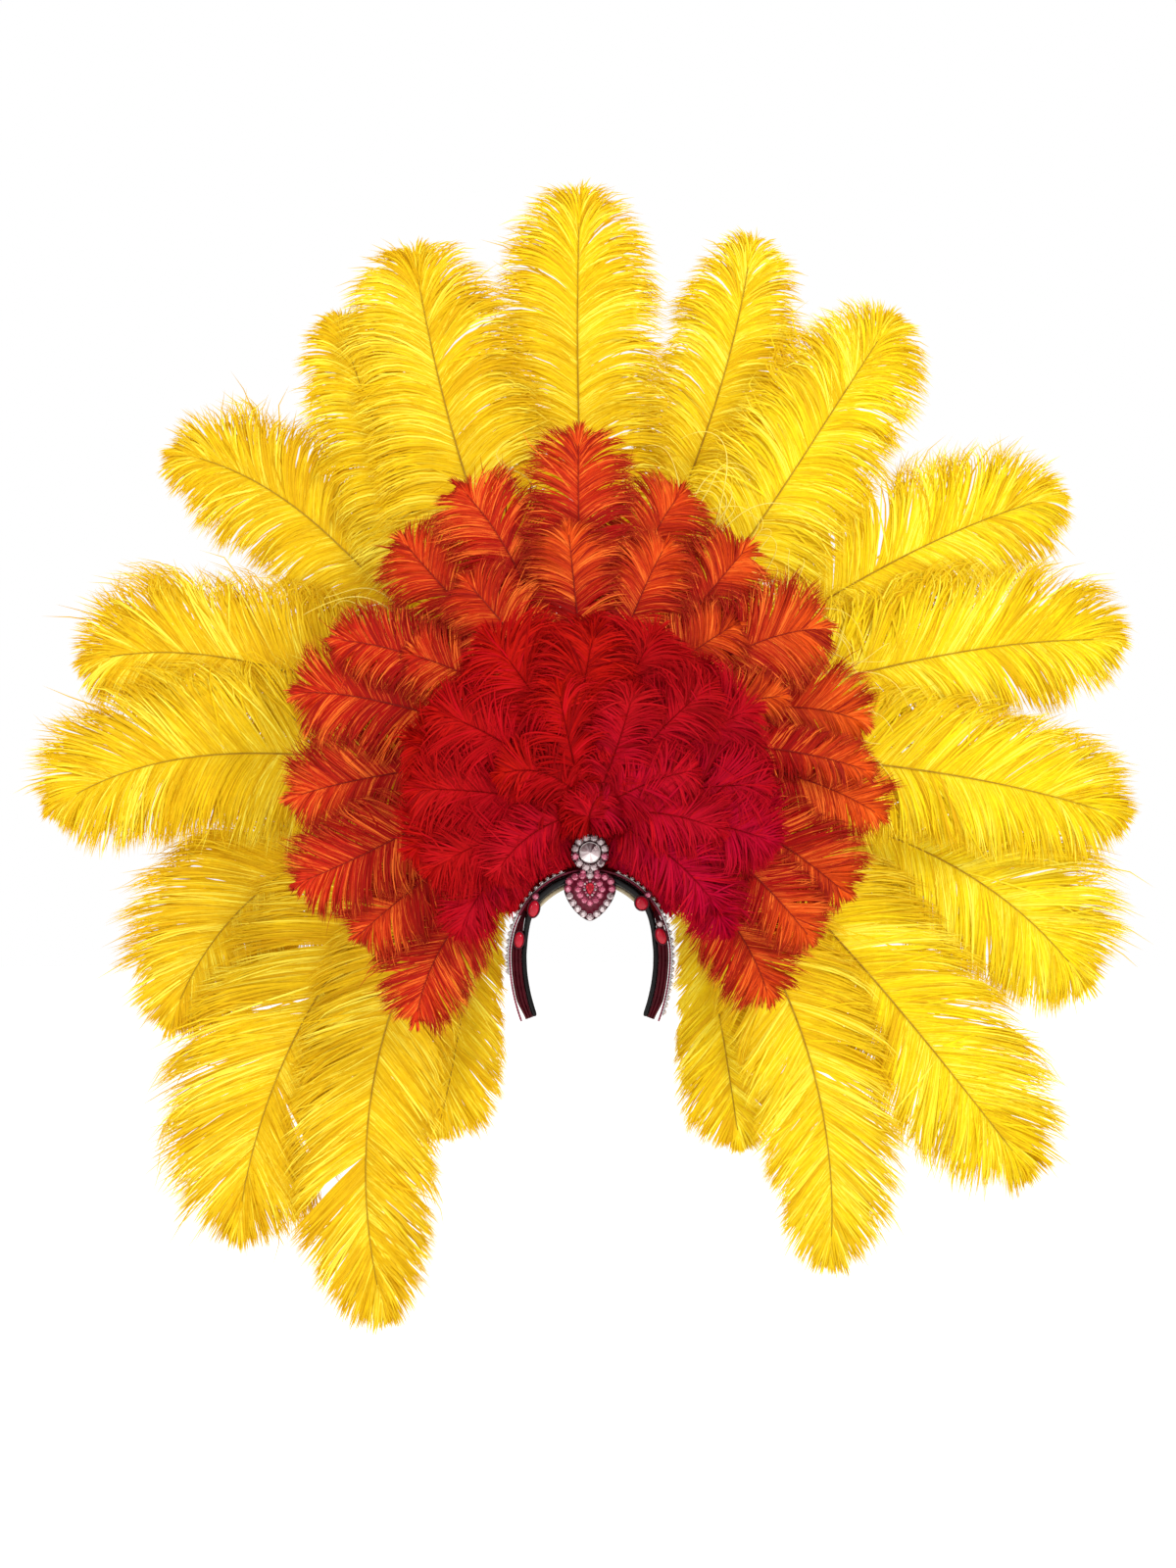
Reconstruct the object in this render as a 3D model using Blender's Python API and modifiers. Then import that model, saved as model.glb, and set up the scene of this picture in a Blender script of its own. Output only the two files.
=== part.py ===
"""Carnival feather headdress: a jewelled headband, a backing plate and three rings of ostrich plumes.

Metres, +Z up, the front faces -Y. The origin is where the comfort strip rests on the crown of the head.
"""

import math
from collections import namedtuple

import bmesh
import bpy
from mathutils import Matrix, Vector

# Clearance between pieces that touch
GAP = 0.0003

# Arch of the headband, measured to its outer edge
ARCH_HALF_WIDTH = 0.088
ARCH_RISE = 0.0948
ARCH_DROP = 0.072
ARCH_END_INSET = 0.013

# Shell, comfort strip, black roll and rose cord of the headband
SHELL_WALL = 0.003
SHELL_DEPTH = 0.042
SHELL_FRONT = -0.018
SHELL_FOLLOW = 0.3
STRIP_THICKNESS = 0.005
STRIP_DEPTH = 0.034
STRIP_STATIONS = 5
ROLL_RADIUS = 0.0047
ROLL_END_RADIUS = 0.0027
ROSE_RADIUS = 0.0013
ROSE_SET_FORWARD = 0.0042
ARCH_STATIONS = 13
TUBE_STATIONS = 26

# Fluted side panels
PANEL_WIDTH = 0.012
PANEL_BACK_THICKNESS = 0.0028
FLUTE_DEPTH = 0.0026
FLUTES = 3
PANEL_WIDENS_FROM = 0.30
PANEL_WIDENS_TO = 0.62
PANEL_START = 0.42
PANEL_END_SHARE = 0.7
PANEL_STEPS = 9

# Chains of small stones on the outer edge
CHAIN_STRIP_WIDTH = 0.0062
CHAIN_STRIP_THICKNESS = 0.0012
CHAIN_STONE_RADIUS = 0.0026
CHAIN_STONE_HEIGHT = 0.0022
CHAIN_PITCH = 0.0080
CHAIN_SINK = 0.0005
CHAIN_START = 0.15

# Medallion
MEDALLION_HALF_WIDTH = 0.0288
MEDALLION_TOP = 0.020
MEDALLION_BOTTOM = 0.0347
MEDALLION_CENTRE_Z = -0.0058
MEDALLION_PLATE = 0.0026
MEDALLION_TOP_POWER = 3.2
MEDALLION_POINT_POWER = 1.5
MEDALLION_SIDES = 28
MEDALLION_STONE_RADIUS = 0.0034
MEDALLION_STONE_HEIGHT = 0.0030
OUTER_ROW_INSET = 0.0042
OUTER_ROW_STONES = 18
INNER_ROW_HALF_WIDTH = 0.0134
INNER_ROW_TOP = 0.0082
INNER_ROW_BOTTOM = 0.0148
INNER_ROW_STONES = 11
INNER_ROW_LEFT_OUT = (5, 6)
STONE_SINK = 0.0008
TABLE_SHARE = 0.55
PEAR_HALF_WIDTH = 0.0046
PEAR_TOP = 0.0046
PEAR_POINT = 0.0089
PEAR_RAISE = 0.0042
PEAR_CENTRE_UP = 0.0032
PEAR_SIDES = 14

# Finial
FINIAL_RADIUS = 0.0212
FINIAL_PLATE = 0.0026
FINIAL_STONE_RADIUS = 0.0037
FINIAL_STONE_CIRCLE = 0.0170
FINIAL_STONES = 12
CRYSTAL_RADIUS = 0.0120
CRYSTAL_HEIGHT = 0.0060
CRYSTAL_TABLE = 0.0011
CRYSTAL_SIDES = 12

# Ruby cabochons: rim and dome
CABOCHON_RIM = 0.0017
CABOCHON_RIM_HEIGHT = 0.0026
CABOCHON_DOME = 0.0034
BEAD_RADIUS = 0.0036
BEAD_RIM = 0.0011

# Backing plate
PLATE_THICKNESS = 0.003
PLATE_FRONT = 0.010
PLATE_TOP_RADIUS = 0.142
PLATE_LOW_RADIUS = 0.216
PLATE_WIDENS_FROM = 60.0
PLATE_WIDENS_TO = 140.0
PLATE_LOW_ANGLE = 152.0
PLATE_HUG_STATIONS = 6
PLATE_STEPS = 30

# Plumes
HUB_Z = 0.167
RED_HUB_Z = 0.079
RED_ROOT_RADIUS = 0.045
QUILL_SEAT = 0.020
LOCK_NOTCH = 0.17
BARB_SWEEP = 0.28
VANE_SWELL = 0.30
VANE_ROUND = 0.30
EDGE_THICKNESS = 0.0012
VANE_CAMBER = 0.004

Ring = namedtuple(
    "Ring",
    "name hub_z reach width quill spine side stand_off level_gap lean curl curl_start ramp vane_start sections colour",
)
YELLOW = Ring(
    name="yellow",
    hub_z=HUB_Z,
    reach=0.610,
    width=0.160,
    quill=0.0024,
    spine=0.0050,
    side=1,
    stand_off=0.006,
    level_gap=0.014,
    lean=0.040,
    curl=0.085,
    curl_start=0.5,
    ramp=0.060,
    vane_start=0.12,
    sections=13,
    colour=(1.0, 0.72, 0.01, 1.0),
)
ORANGE = Ring(
    name="orange",
    hub_z=HUB_Z,
    reach=0.340,
    width=0.108,
    quill=0.0020,
    spine=0.0042,
    side=-1,
    stand_off=0.010,
    level_gap=0.009,
    lean=-0.015,
    curl=0.030,
    curl_start=0.5,
    ramp=0.026,
    vane_start=0.08,
    sections=10,
    colour=(0.95, 0.16, 0.01, 1.0),
)
RED = Ring(
    name="red",
    hub_z=RED_HUB_Z,
    reach=0.215,
    width=0.124,
    quill=0.0018,
    spine=0.0040,
    side=-1,
    stand_off=0.046,
    level_gap=0.010,
    lean=-0.015,
    curl=0.030,
    curl_start=0.5,
    ramp=0.030,
    vane_start=0.14,
    sections=9,
    colour=(0.55, 0.0, 0.01, 1.0),
)

# Directions of the rachis in degrees clockwise from straight up, at its root, middle and tip.
# reach and width are shares of the ring's reach and width, level is the layer away from the plate.
Plume = namedtuple("Plume", "root middle tip reach width level")
YELLOW_PLUMES = (
    Plume(root=-146, middle=-155, tip=-159, reach=0.80, width=0.72, level=2),
    Plume(root=-136, middle=-147, tip=-161, reach=1.13, width=0.91, level=0),
    Plume(root=-126, middle=-134, tip=-145, reach=1.12, width=1.18, level=1),
    Plume(root=-114, middle=-114, tip=-125, reach=0.95, width=1.03, level=2),
    Plume(root=-101, middle=-93, tip=-98, reach=1.00, width=1.08, level=0),
    Plume(root=-86, middle=-78, tip=-82, reach=0.95, width=1.03, level=1),
    Plume(root=-66, middle=-53, tip=-56, reach=0.94, width=1.00, level=2),
    Plume(root=-48, middle=-38, tip=-31, reach=0.91, width=0.87, level=1),
    Plume(root=-31, middle=-25, tip=-20, reach=0.95, width=1.15, level=0),
    Plume(root=-2, middle=-2, tip=-1, reach=1.00, width=1.10, level=1),
    Plume(root=20, middle=21, tip=18, reach=0.97, width=0.92, level=2),
    Plume(root=42, middle=38, tip=36, reach=0.95, width=1.03, level=0),
    Plume(root=62, middle=60, tip=63, reach=0.98, width=1.03, level=2),
    Plume(root=79, middle=77, tip=80, reach=1.00, width=1.00, level=1),
    Plume(root=96, middle=96, tip=99, reach=1.00, width=0.93, level=0),
    Plume(root=110, middle=109, tip=117, reach=1.03, width=1.13, level=2),
    Plume(root=125, middle=131, tip=135, reach=1.14, width=1.03, level=1),
    Plume(root=137, middle=145, tip=156, reach=1.07, width=0.87, level=0),
    Plume(root=147, middle=155, tip=160, reach=0.82, width=0.70, level=2),
)
ORANGE_PLUMES = (
    Plume(root=-146, middle=-145, tip=-149, reach=1.10, width=0.91, level=0),
    Plume(root=-132, middle=-131, tip=-131, reach=1.01, width=0.88, level=1),
    Plume(root=-118, middle=-118, tip=-117, reach=1.07, width=0.98, level=2),
    Plume(root=-102, middle=-101, tip=-102, reach=1.00, width=1.04, level=0),
    Plume(root=-85, middle=-81, tip=-82, reach=0.97, width=1.08, level=1),
    Plume(root=-66, middle=-66, tip=-70, reach=0.90, width=0.80, level=2),
    Plume(root=-46, middle=-45, tip=-44, reach=0.90, width=0.98, level=0),
    Plume(root=-24, middle=-24, tip=-28, reach=0.92, width=1.08, level=1),
    Plume(root=-3, middle=-3, tip=-2, reach=0.99, width=1.08, level=2),
    Plume(root=17, middle=17, tip=21, reach=0.86, width=1.04, level=0),
    Plume(root=40, middle=40, tip=40, reach=0.81, width=0.98, level=1),
    Plume(root=61, middle=61, tip=66, reach=0.85, width=1.08, level=2),
    Plume(root=82, middle=82, tip=88, reach=0.91, width=0.95, level=0),
    Plume(root=101, middle=102, tip=106, reach=1.00, width=0.88, level=1),
    Plume(root=119, middle=120, tip=122, reach=0.99, width=0.92, level=2),
    Plume(root=143, middle=143, tip=146, reach=1.05, width=0.91, level=0),
)
RED_PLUMES = (
    Plume(root=-110, middle=-122, tip=-133, reach=0.93, width=0.62, level=0),
    Plume(root=-88, middle=-95, tip=-102, reach=0.95, width=0.92, level=1),
    Plume(root=-60, middle=-64, tip=-67, reach=1.00, width=1.02, level=0),
    Plume(root=-22, middle=-25, tip=-30, reach=1.05, width=1.10, level=1),
    Plume(root=14, middle=16, tip=20, reach=1.00, width=1.10, level=0),
    Plume(root=52, middle=54, tip=57, reach=1.00, width=1.02, level=1),
    Plume(root=84, middle=89, tip=95, reach=0.97, width=0.94, level=0),
    Plume(root=108, middle=120, tip=131, reach=0.95, width=0.65, level=1),
)

# along is the place on the arch as a share of its half length, inset is how far its centre lies in from
# the outer edge, bead is the direction of its small round stone from the oval, in degrees from straight up.
Cabochon = namedtuple("Cabochon", "name along inset half_width half_height turn bead")
CABOCHONS = (
    Cabochon("cabochon_upper_left", -0.385, 0.0085, 0.0058, 0.0092, 12, 8),
    Cabochon("cabochon_lower_left", -0.575, 0.0070, 0.0052, 0.0088, 4, None),
    Cabochon("cabochon_upper_right", 0.345, 0.0085, 0.0070, 0.0074, -20, 38),
    Cabochon("cabochon_lower_right", 0.555, 0.0060, 0.0056, 0.0092, -20, -6),
)

EdgeChain = namedtuple("EdgeChain", "name side end")
EDGE_CHAINS = (
    EdgeChain("edge_stones_left", -1, 0.74),
    EdgeChain("edge_stones_right", 1, 0.95),
)

SATIN_MAROON = ("satin_maroon", (0.085, 0.004, 0.010, 1.0), 0.32, 0.0)
PATENT_BLACK = ("patent_black", (0.004, 0.003, 0.003, 1.0), 0.12, 0.0)
ROSE_SATIN = ("rose_satin", (0.30, 0.05, 0.08, 1.0), 0.35, 0.0)
CREAM_RIBBED = ("cream_ribbed", (0.78, 0.70, 0.50, 1.0), 0.7, 0.0)
CLEAR_STONE = ("clear_stone", (0.80, 0.74, 0.74, 1.0), 0.05, 0.4)
PINK_STONE = ("pink_stone", (0.60, 0.07, 0.16, 1.0), 0.06, 0.3)
RUBY = ("ruby", (0.55, 0.01, 0.03, 1.0), 0.08, 0.0)
PLATE_FELT = ("plate_felt", (0.20, 0.01, 0.01, 1.0), 0.9, 0.0)

ARCH_TOP = 2 * ROLL_RADIUS + GAP + STRIP_THICKNESS
ARCH_SPRING = ARCH_TOP - ARCH_RISE
ARCH_QUARTER = math.pi / 2 * math.sqrt((ARCH_HALF_WIDTH**2 + ARCH_RISE**2) / 2)
ARCH_LENGTH = ARCH_QUARTER + math.hypot(ARCH_DROP, ARCH_END_INSET)
ARCH_TURN = ARCH_QUARTER / ARCH_LENGTH
ROLL_CREST = SHELL_FRONT - GAP - 2 * ROLL_RADIUS
MEDALLION_BACK = ROLL_CREST - GAP
FACING_FRONT = (math.radians(90), 0, 0)


def clear_scene():
    """Empties the scene that the script is run in."""
    for obj in list(bpy.data.objects):
        bpy.data.objects.remove(obj, do_unlink=True)


def make_collection(name):
    """A new collection in the scene."""
    found = bpy.data.collections.new(name)
    bpy.context.scene.collection.children.link(found)
    return found


def material(name, colour, roughness, metallic):
    """A Principled material, made once for each name."""
    found = bpy.data.materials.get(name)
    if found:
        return found
    found = bpy.data.materials.new(name)
    found.use_nodes = True
    shader = found.node_tree.nodes["Principled BSDF"]
    shader.inputs["Base Color"].default_value = colour
    shader.inputs["Roughness"].default_value = roughness
    shader.inputs["Metallic"].default_value = metallic
    return found


def smooth(share):
    """Eases from 0 to 1 as share goes from 0 to 1."""
    share = min(max(share, 0.0), 1.0)
    return share * share * (3 - 2 * share)


def place(data, name, finish, location=(0, 0, 0), rotation=(0, 0, 0)):
    """Adds a finished piece to the headdress, under the head rest."""
    data.materials.append(material(*finish))
    obj = bpy.data.objects.new(name, data)
    obj.location = location
    obj.rotation_euler = rotation
    obj.parent = bpy.data.objects["head_rest"]
    bpy.data.collections["carnival_feather_headdress"].objects.link(obj)
    return obj


def mesh_from(bm, name):
    """Turns a bmesh into a mesh with its faces pointing out."""
    bmesh.ops.recalc_face_normals(bm, faces=bm.faces)
    mesh = bpy.data.meshes.new(name)
    bm.to_mesh(mesh)
    bm.free()
    return mesh


def loft(bm, rings, pointed=None):
    """Joins closed sections of equal point counts into one solid, with flat ends or a pointed far end."""
    rows = [[bm.verts.new(point) for point in ring] for ring in rings]
    for near, far in zip(rows, rows[1:]):
        for index in range(len(near)):
            after = (index + 1) % len(near)
            bm.faces.new((near[index], near[after], far[after], far[index]))
    bm.faces.new(rows[0][::-1])
    last = rows[-1]
    if pointed is None:
        bm.faces.new(last)
        return
    point = bm.verts.new(pointed)
    for index in range(len(last)):
        bm.faces.new((last[index], last[(index + 1) % len(last)], point))


def fuse(obj, bm, name):
    """Fuses the solids in bm to obj with one union."""
    helper = bpy.data.objects.new(name, mesh_from(bm, name))
    helper.location = obj.location
    helper.rotation_euler = obj.rotation_euler
    helper.parent = obj.parent
    helper.hide_render = True
    helper.display_type = "WIRE"
    bpy.data.collections["fused_shapes"].objects.link(helper)
    union = obj.modifiers.new("fuse", "BOOLEAN")
    union.operation = "UNION"
    union.solver = "EXACT"
    union.object = helper


def add_stone(bm, centre, facing, radius, height, sink):
    """Adds a cut stone with a table and eight facets, sunk a little into what carries it."""
    turn = Vector((0, 0, 1)).rotation_difference(Vector(facing)).to_matrix().to_4x4()
    middle = Vector(centre) + Vector(facing).normalized() * ((height - sink) / 2)
    bmesh.ops.create_cone(
        bm,
        cap_ends=True,
        segments=8,
        radius1=radius,
        radius2=radius * TABLE_SHARE,
        depth=height + sink,
        matrix=Matrix.Translation(middle) @ turn,
    )


def add_oval(bm, centre, half_width, half_height, depth, sides, turn=0.0):
    """Adds an upright oval disc with its back at the plane z = 0."""
    stretch = Matrix.Diagonal((half_width, half_height, 1.0, 1.0))
    spot = Matrix.Translation((centre[0], centre[1], depth / 2)) @ Matrix.Rotation(turn, 4, "Z")
    bmesh.ops.create_cone(
        bm, cap_ends=True, segments=sides, radius1=1.0, radius2=1.0, depth=depth, matrix=spot @ stretch
    )


def add_dome(bm, centre, half_width, half_height, base, rise, turn=0.0):
    """Adds a rounded stone whose widest place is at height base."""
    shape = Matrix.Diagonal((half_width, half_height, rise, 1.0))
    spot = Matrix.Translation((centre[0], centre[1], base)) @ Matrix.Rotation(turn, 4, "Z")
    bmesh.ops.create_uvsphere(bm, u_segments=10, v_segments=6, radius=1.0, matrix=spot @ shape)


def arch_edge(along):
    """Point of the arch's outer edge, along going from -1 at the left end to 1 at the right end."""
    side = -1 if along < 0 else 1
    share = abs(along)
    if share <= ARCH_TURN:
        angle = share / ARCH_TURN * math.pi / 2
        return Vector((side * ARCH_HALF_WIDTH * math.sin(angle), 0, ARCH_SPRING + ARCH_RISE * math.cos(angle)))
    down = (share - ARCH_TURN) / (1 - ARCH_TURN)
    return Vector((side * (ARCH_HALF_WIDTH - ARCH_END_INSET * down**2), 0, ARCH_SPRING - ARCH_DROP * down))


def arch_outward(along):
    """Direction away from the head, square to the arch."""
    step = 0.01
    run = arch_edge(min(along + step, 1.0)) - arch_edge(max(along - step, -1.0))
    return Vector((-run.z, 0, run.x)).normalized()


def arch_point(along, inset, depth=0.0):
    """Point on the arch, inset towards the head, at a depth along Y."""
    return arch_edge(along) - arch_outward(along) * inset + Vector((0, depth, 0))


def arch_places(start, end, steps):
    """Even places from start to end."""
    return [start + (end - start) * index / steps for index in range(steps + 1)]


def shell_places(stations):
    """The shell's own places along the arch, up to so many stations from its top on both sides."""
    return [index / ARCH_STATIONS for index in range(-stations, stations + 1)]


def panel_room(along):
    """Width that the side panel takes beside the black roll."""
    return PANEL_WIDTH * smooth((abs(along) - PANEL_WIDENS_FROM) / (PANEL_WIDENS_TO - PANEL_WIDENS_FROM))


def roll_radius(along):
    """Radius of the black roll, which slims down the sides."""
    slim = smooth((abs(along) - PANEL_WIDENS_FROM) / (PANEL_WIDENS_TO - PANEL_WIDENS_FROM))
    return ROLL_RADIUS + (ROLL_END_RADIUS - ROLL_RADIUS) * slim


def shell_inset(along):
    """How far the shell's outer face lies in from the arch's outer edge."""
    return 2 * ROLL_RADIUS - SHELL_WALL + SHELL_FOLLOW * panel_room(along)


def arch_sheet(name, inset, front, depth, stations, thickness, finish):
    """A band along the arch: an open sheet at the inset, thickened towards the head."""
    bm = bmesh.new()
    rows = []
    for along in shell_places(stations):
        near = bm.verts.new(arch_point(along, inset(along), front))
        far = bm.verts.new(arch_point(along, inset(along), front + depth))
        rows.append((near, far))
    for (near, far), (next_near, next_far) in zip(rows, rows[1:]):
        bm.faces.new((near, next_near, next_far, far))
    mesh = bpy.data.meshes.new(name)
    bm.to_mesh(mesh)
    bm.free()
    obj = place(mesh, name, finish)
    wall = obj.modifiers.new("wall", "SOLIDIFY")
    wall.thickness = thickness
    wall.offset = -1
    wall.use_even_offset = True
    return obj


def arch_tube(name, route, radius, sides_setting, finish):
    """A tube along route, a list of points and radius shares."""
    curve = bpy.data.curves.new(name, "CURVE")
    curve.dimensions = "3D"
    curve.bevel_depth = radius
    curve.bevel_resolution = sides_setting
    curve.use_fill_caps = True
    spline = curve.splines.new("POLY")
    spline.points.add(len(route) - 1)
    for point, (spot, share) in zip(spline.points, route):
        point.co = (*spot, 1.0)
        point.radius = share
    return place(curve, name, finish)


def build_headband():
    """Shell, comfort strip, black roll and rose cord."""
    arch_sheet("headband_shell", shell_inset, SHELL_FRONT, SHELL_DEPTH, ARCH_STATIONS, SHELL_WALL, SATIN_MAROON)
    arch_sheet(
        "comfort_strip",
        lambda along: shell_inset(along) + SHELL_WALL + GAP,
        SHELL_FRONT,
        STRIP_DEPTH,
        STRIP_STATIONS,
        STRIP_THICKNESS,
        CREAM_RIBBED,
    )
    roll_route = []
    rose_route = []
    for along in arch_places(-1.0, 1.0, TUBE_STATIONS):
        radius = roll_radius(along)
        spot = arch_point(along, panel_room(along) + radius, SHELL_FRONT - GAP - radius)
        roll_route.append((spot, radius / ROLL_RADIUS))
        rose_route.append((arch_point(along, -ROSE_RADIUS - GAP, SHELL_FRONT - ROSE_SET_FORWARD), 1.0))
    arch_tube("front_piping", roll_route, ROLL_RADIUS, 2, PATENT_BLACK)
    arch_tube("rose_piping", rose_route, ROSE_RADIUS, 1, ROSE_SATIN)


def build_side_panel(name, side):
    """One fluted satin panel, between the arch's outer edge and the black roll."""
    rings = []
    for share in arch_places(0.0, 1.0, PANEL_STEPS):
        along = side * (PANEL_START + (1.0 - PANEL_START) * share)
        narrow = 1.0 - (1.0 - PANEL_END_SHARE) * smooth((share - 0.8) / 0.2)
        room = panel_room(along) - GAP
        first = room * (1.0 - narrow)
        back = SHELL_FRONT - GAP
        ring = [arch_point(along, room, back), arch_point(along, first, back)]
        for index in range(2 * FLUTES + 1):
            bulge = FLUTE_DEPTH if index % 2 else 0.0
            inset = first + (room - first) * index / (2 * FLUTES)
            ring.append(arch_point(along, inset, back - PANEL_BACK_THICKNESS - bulge))
        rings.append(ring)
    bm = bmesh.new()
    loft(bm, rings)
    place(mesh_from(bm, name), name, SATIN_MAROON)


def build_edge_chain(chain):
    """A chain of small stones fused to its strip, outside the rose cord."""
    floor = -(2 * ROSE_RADIUS + 2 * GAP)
    middle = SHELL_FRONT - ROSE_SET_FORWARD
    half = CHAIN_STRIP_WIDTH / 2
    count = max(2, round((chain.end - CHAIN_START) * ARCH_LENGTH / CHAIN_PITCH))
    margin = CHAIN_PITCH / ARCH_LENGTH / 2
    rings = []
    for share in arch_places(CHAIN_START - margin, chain.end + margin, count // 2 + 4):
        along = chain.side * min(share, 1.0)
        top = floor - CHAIN_STRIP_THICKNESS
        corners = ((floor, -half), (floor, half), (top, half), (top, -half))
        rings.append([arch_point(along, inset, middle + across) for inset, across in corners])
    bm = bmesh.new()
    loft(bm, rings)
    obj = place(mesh_from(bm, chain.name), chain.name, CLEAR_STONE)
    stones = bmesh.new()
    for share in arch_places(CHAIN_START, chain.end, count):
        along = chain.side * share
        seat = arch_point(along, floor - CHAIN_STRIP_THICKNESS, middle)
        add_stone(stones, seat, arch_outward(along), CHAIN_STONE_RADIUS, CHAIN_STONE_HEIGHT, CHAIN_SINK)
    fuse(obj, stones, chain.name + "_stones")


def shield_point(angle, half_width, top, bottom, top_power, point_power):
    """Point of a shield outline with a rounded top and a pointed bottom, angle from straight up."""
    across = math.sin(angle)
    up = math.cos(angle)
    height = top if up >= 0 else bottom
    power = top_power if up >= 0 else point_power
    return (
        half_width * math.copysign(abs(across) ** (2 / power), across),
        height * math.copysign(abs(up) ** (2 / power), up),
    )


def medallion_shape(half_width, top, bottom):
    """Outline of the medallion's form at a size, as a function of the angle."""
    return lambda angle: shield_point(
        angle, half_width, top, bottom, MEDALLION_TOP_POWER, MEDALLION_POINT_POWER
    )


def even_row(outline, count):
    """Points spaced evenly along a closed outline, starting at its bottom."""
    fine = [Vector(outline(math.pi + 2 * math.pi * step / 240)) for step in range(241)]
    lengths = [0.0]
    for before, after in zip(fine, fine[1:]):
        lengths.append(lengths[-1] + (after - before).length)
    found = []
    for index in range(count):
        wanted = lengths[-1] * index / count
        place_index = next(step for step, length in enumerate(lengths) if length >= wanted)
        found.append(fine[place_index])
    return found


def shield_ring(outline, sides, height):
    """A closed section of a shield shape at a height."""
    spots = even_row(outline, sides)
    return [Vector((spot.x, spot.y, height)) for spot in spots]


def build_medallion():
    """Heart-shaped plate with two rows of cut stones, and the pear stone at its centre."""
    bm = bmesh.new()
    edge = medallion_shape(MEDALLION_HALF_WIDTH, MEDALLION_TOP, MEDALLION_BOTTOM)
    loft(bm, [shield_ring(edge, MEDALLION_SIDES, height) for height in (0.0, MEDALLION_PLATE)])
    where = (0, MEDALLION_BACK, MEDALLION_CENTRE_Z)
    obj = place(mesh_from(bm, "medallion"), "medallion", PINK_STONE, where, FACING_FRONT)
    stones = bmesh.new()
    outer = medallion_shape(
        MEDALLION_HALF_WIDTH - OUTER_ROW_INSET,
        MEDALLION_TOP - OUTER_ROW_INSET,
        MEDALLION_BOTTOM - OUTER_ROW_INSET,
    )
    inner = medallion_shape(INNER_ROW_HALF_WIDTH, INNER_ROW_TOP, INNER_ROW_BOTTOM)
    seats = even_row(outer, OUTER_ROW_STONES)
    for index, spot in enumerate(even_row(inner, INNER_ROW_STONES)):
        if index not in INNER_ROW_LEFT_OUT:
            seats.append(spot)
    for spot in seats:
        seat = (spot.x, spot.y, MEDALLION_PLATE)
        add_stone(stones, seat, (0, 0, 1), MEDALLION_STONE_RADIUS, MEDALLION_STONE_HEIGHT, STONE_SINK)
    fuse(obj, stones, "medallion_stones")

    def pear(scale):
        return lambda angle: shield_point(
            angle, PEAR_HALF_WIDTH * scale, PEAR_TOP * scale, PEAR_POINT * scale, 2.0, 1.4
        )

    rings = []
    for scale, height in ((0.9, 0.0), (1.0, 0.35 * PEAR_RAISE), (TABLE_SHARE, PEAR_RAISE)):
        rings.append(shield_ring(pear(scale), PEAR_SIDES, height))
    bm = bmesh.new()
    loft(bm, rings)
    seat = (0, MEDALLION_BACK - MEDALLION_PLATE - GAP, MEDALLION_CENTRE_Z + PEAR_CENTRE_UP)
    place(mesh_from(bm, "medallion_pear"), "medallion_pear", RUBY, seat, FACING_FRONT)


def build_finial():
    """Round setting with a ring of clear stones above the medallion, and its crystal."""
    height = MEDALLION_CENTRE_Z + MEDALLION_TOP + GAP + FINIAL_RADIUS
    bm = bmesh.new()
    add_oval(bm, (0, 0), FINIAL_RADIUS, FINIAL_RADIUS, FINIAL_PLATE, 24)
    where = (0, MEDALLION_BACK, height)
    obj = place(mesh_from(bm, "finial_ring"), "finial_ring", CLEAR_STONE, where, FACING_FRONT)
    stones = bmesh.new()
    for index in range(FINIAL_STONES):
        angle = 2 * math.pi * (index + 0.5) / FINIAL_STONES
        seat = (FINIAL_STONE_CIRCLE * math.sin(angle), FINIAL_STONE_CIRCLE * math.cos(angle), FINIAL_PLATE)
        add_stone(stones, seat, (0, 0, 1), FINIAL_STONE_RADIUS, MEDALLION_STONE_HEIGHT, STONE_SINK)
    fuse(obj, stones, "finial_stones")
    bm = bmesh.new()
    bmesh.ops.create_cone(
        bm,
        cap_ends=True,
        segments=CRYSTAL_SIDES,
        radius1=CRYSTAL_RADIUS,
        radius2=CRYSTAL_TABLE,
        depth=CRYSTAL_HEIGHT,
        matrix=Matrix.Translation((0, 0, CRYSTAL_HEIGHT / 2)),
    )
    seat = (0, MEDALLION_BACK - FINIAL_PLATE - GAP, height)
    place(mesh_from(bm, "finial_crystal"), "finial_crystal", CLEAR_STONE, seat, FACING_FRONT)


def front_of_band(row):
    """Y of the frontmost material of the band under a cabochon, where it is seated."""
    reach = row.half_height + CABOCHON_RIM + (0 if row.bead is None else 2 * (BEAD_RADIUS + BEAD_RIM))
    radius = roll_radius(max(abs(row.along) - reach / ARCH_LENGTH, 0.0))
    roll = SHELL_FRONT - GAP - 2 * radius
    panel = SHELL_FRONT - GAP - PANEL_BACK_THICKNESS - FLUTE_DEPTH
    rose = SHELL_FRONT - ROSE_SET_FORWARD - ROSE_RADIUS
    tilt = row.half_height * abs(math.sin(math.radians(row.turn)))
    over_chain = row.inset - row.half_width - CABOCHON_RIM - tilt < -(2 * ROSE_RADIUS + 2 * GAP)
    chain = rose + ROSE_RADIUS - CHAIN_STRIP_WIDTH / 2 if over_chain else rose
    return min(roll, panel, rose, chain)


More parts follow.
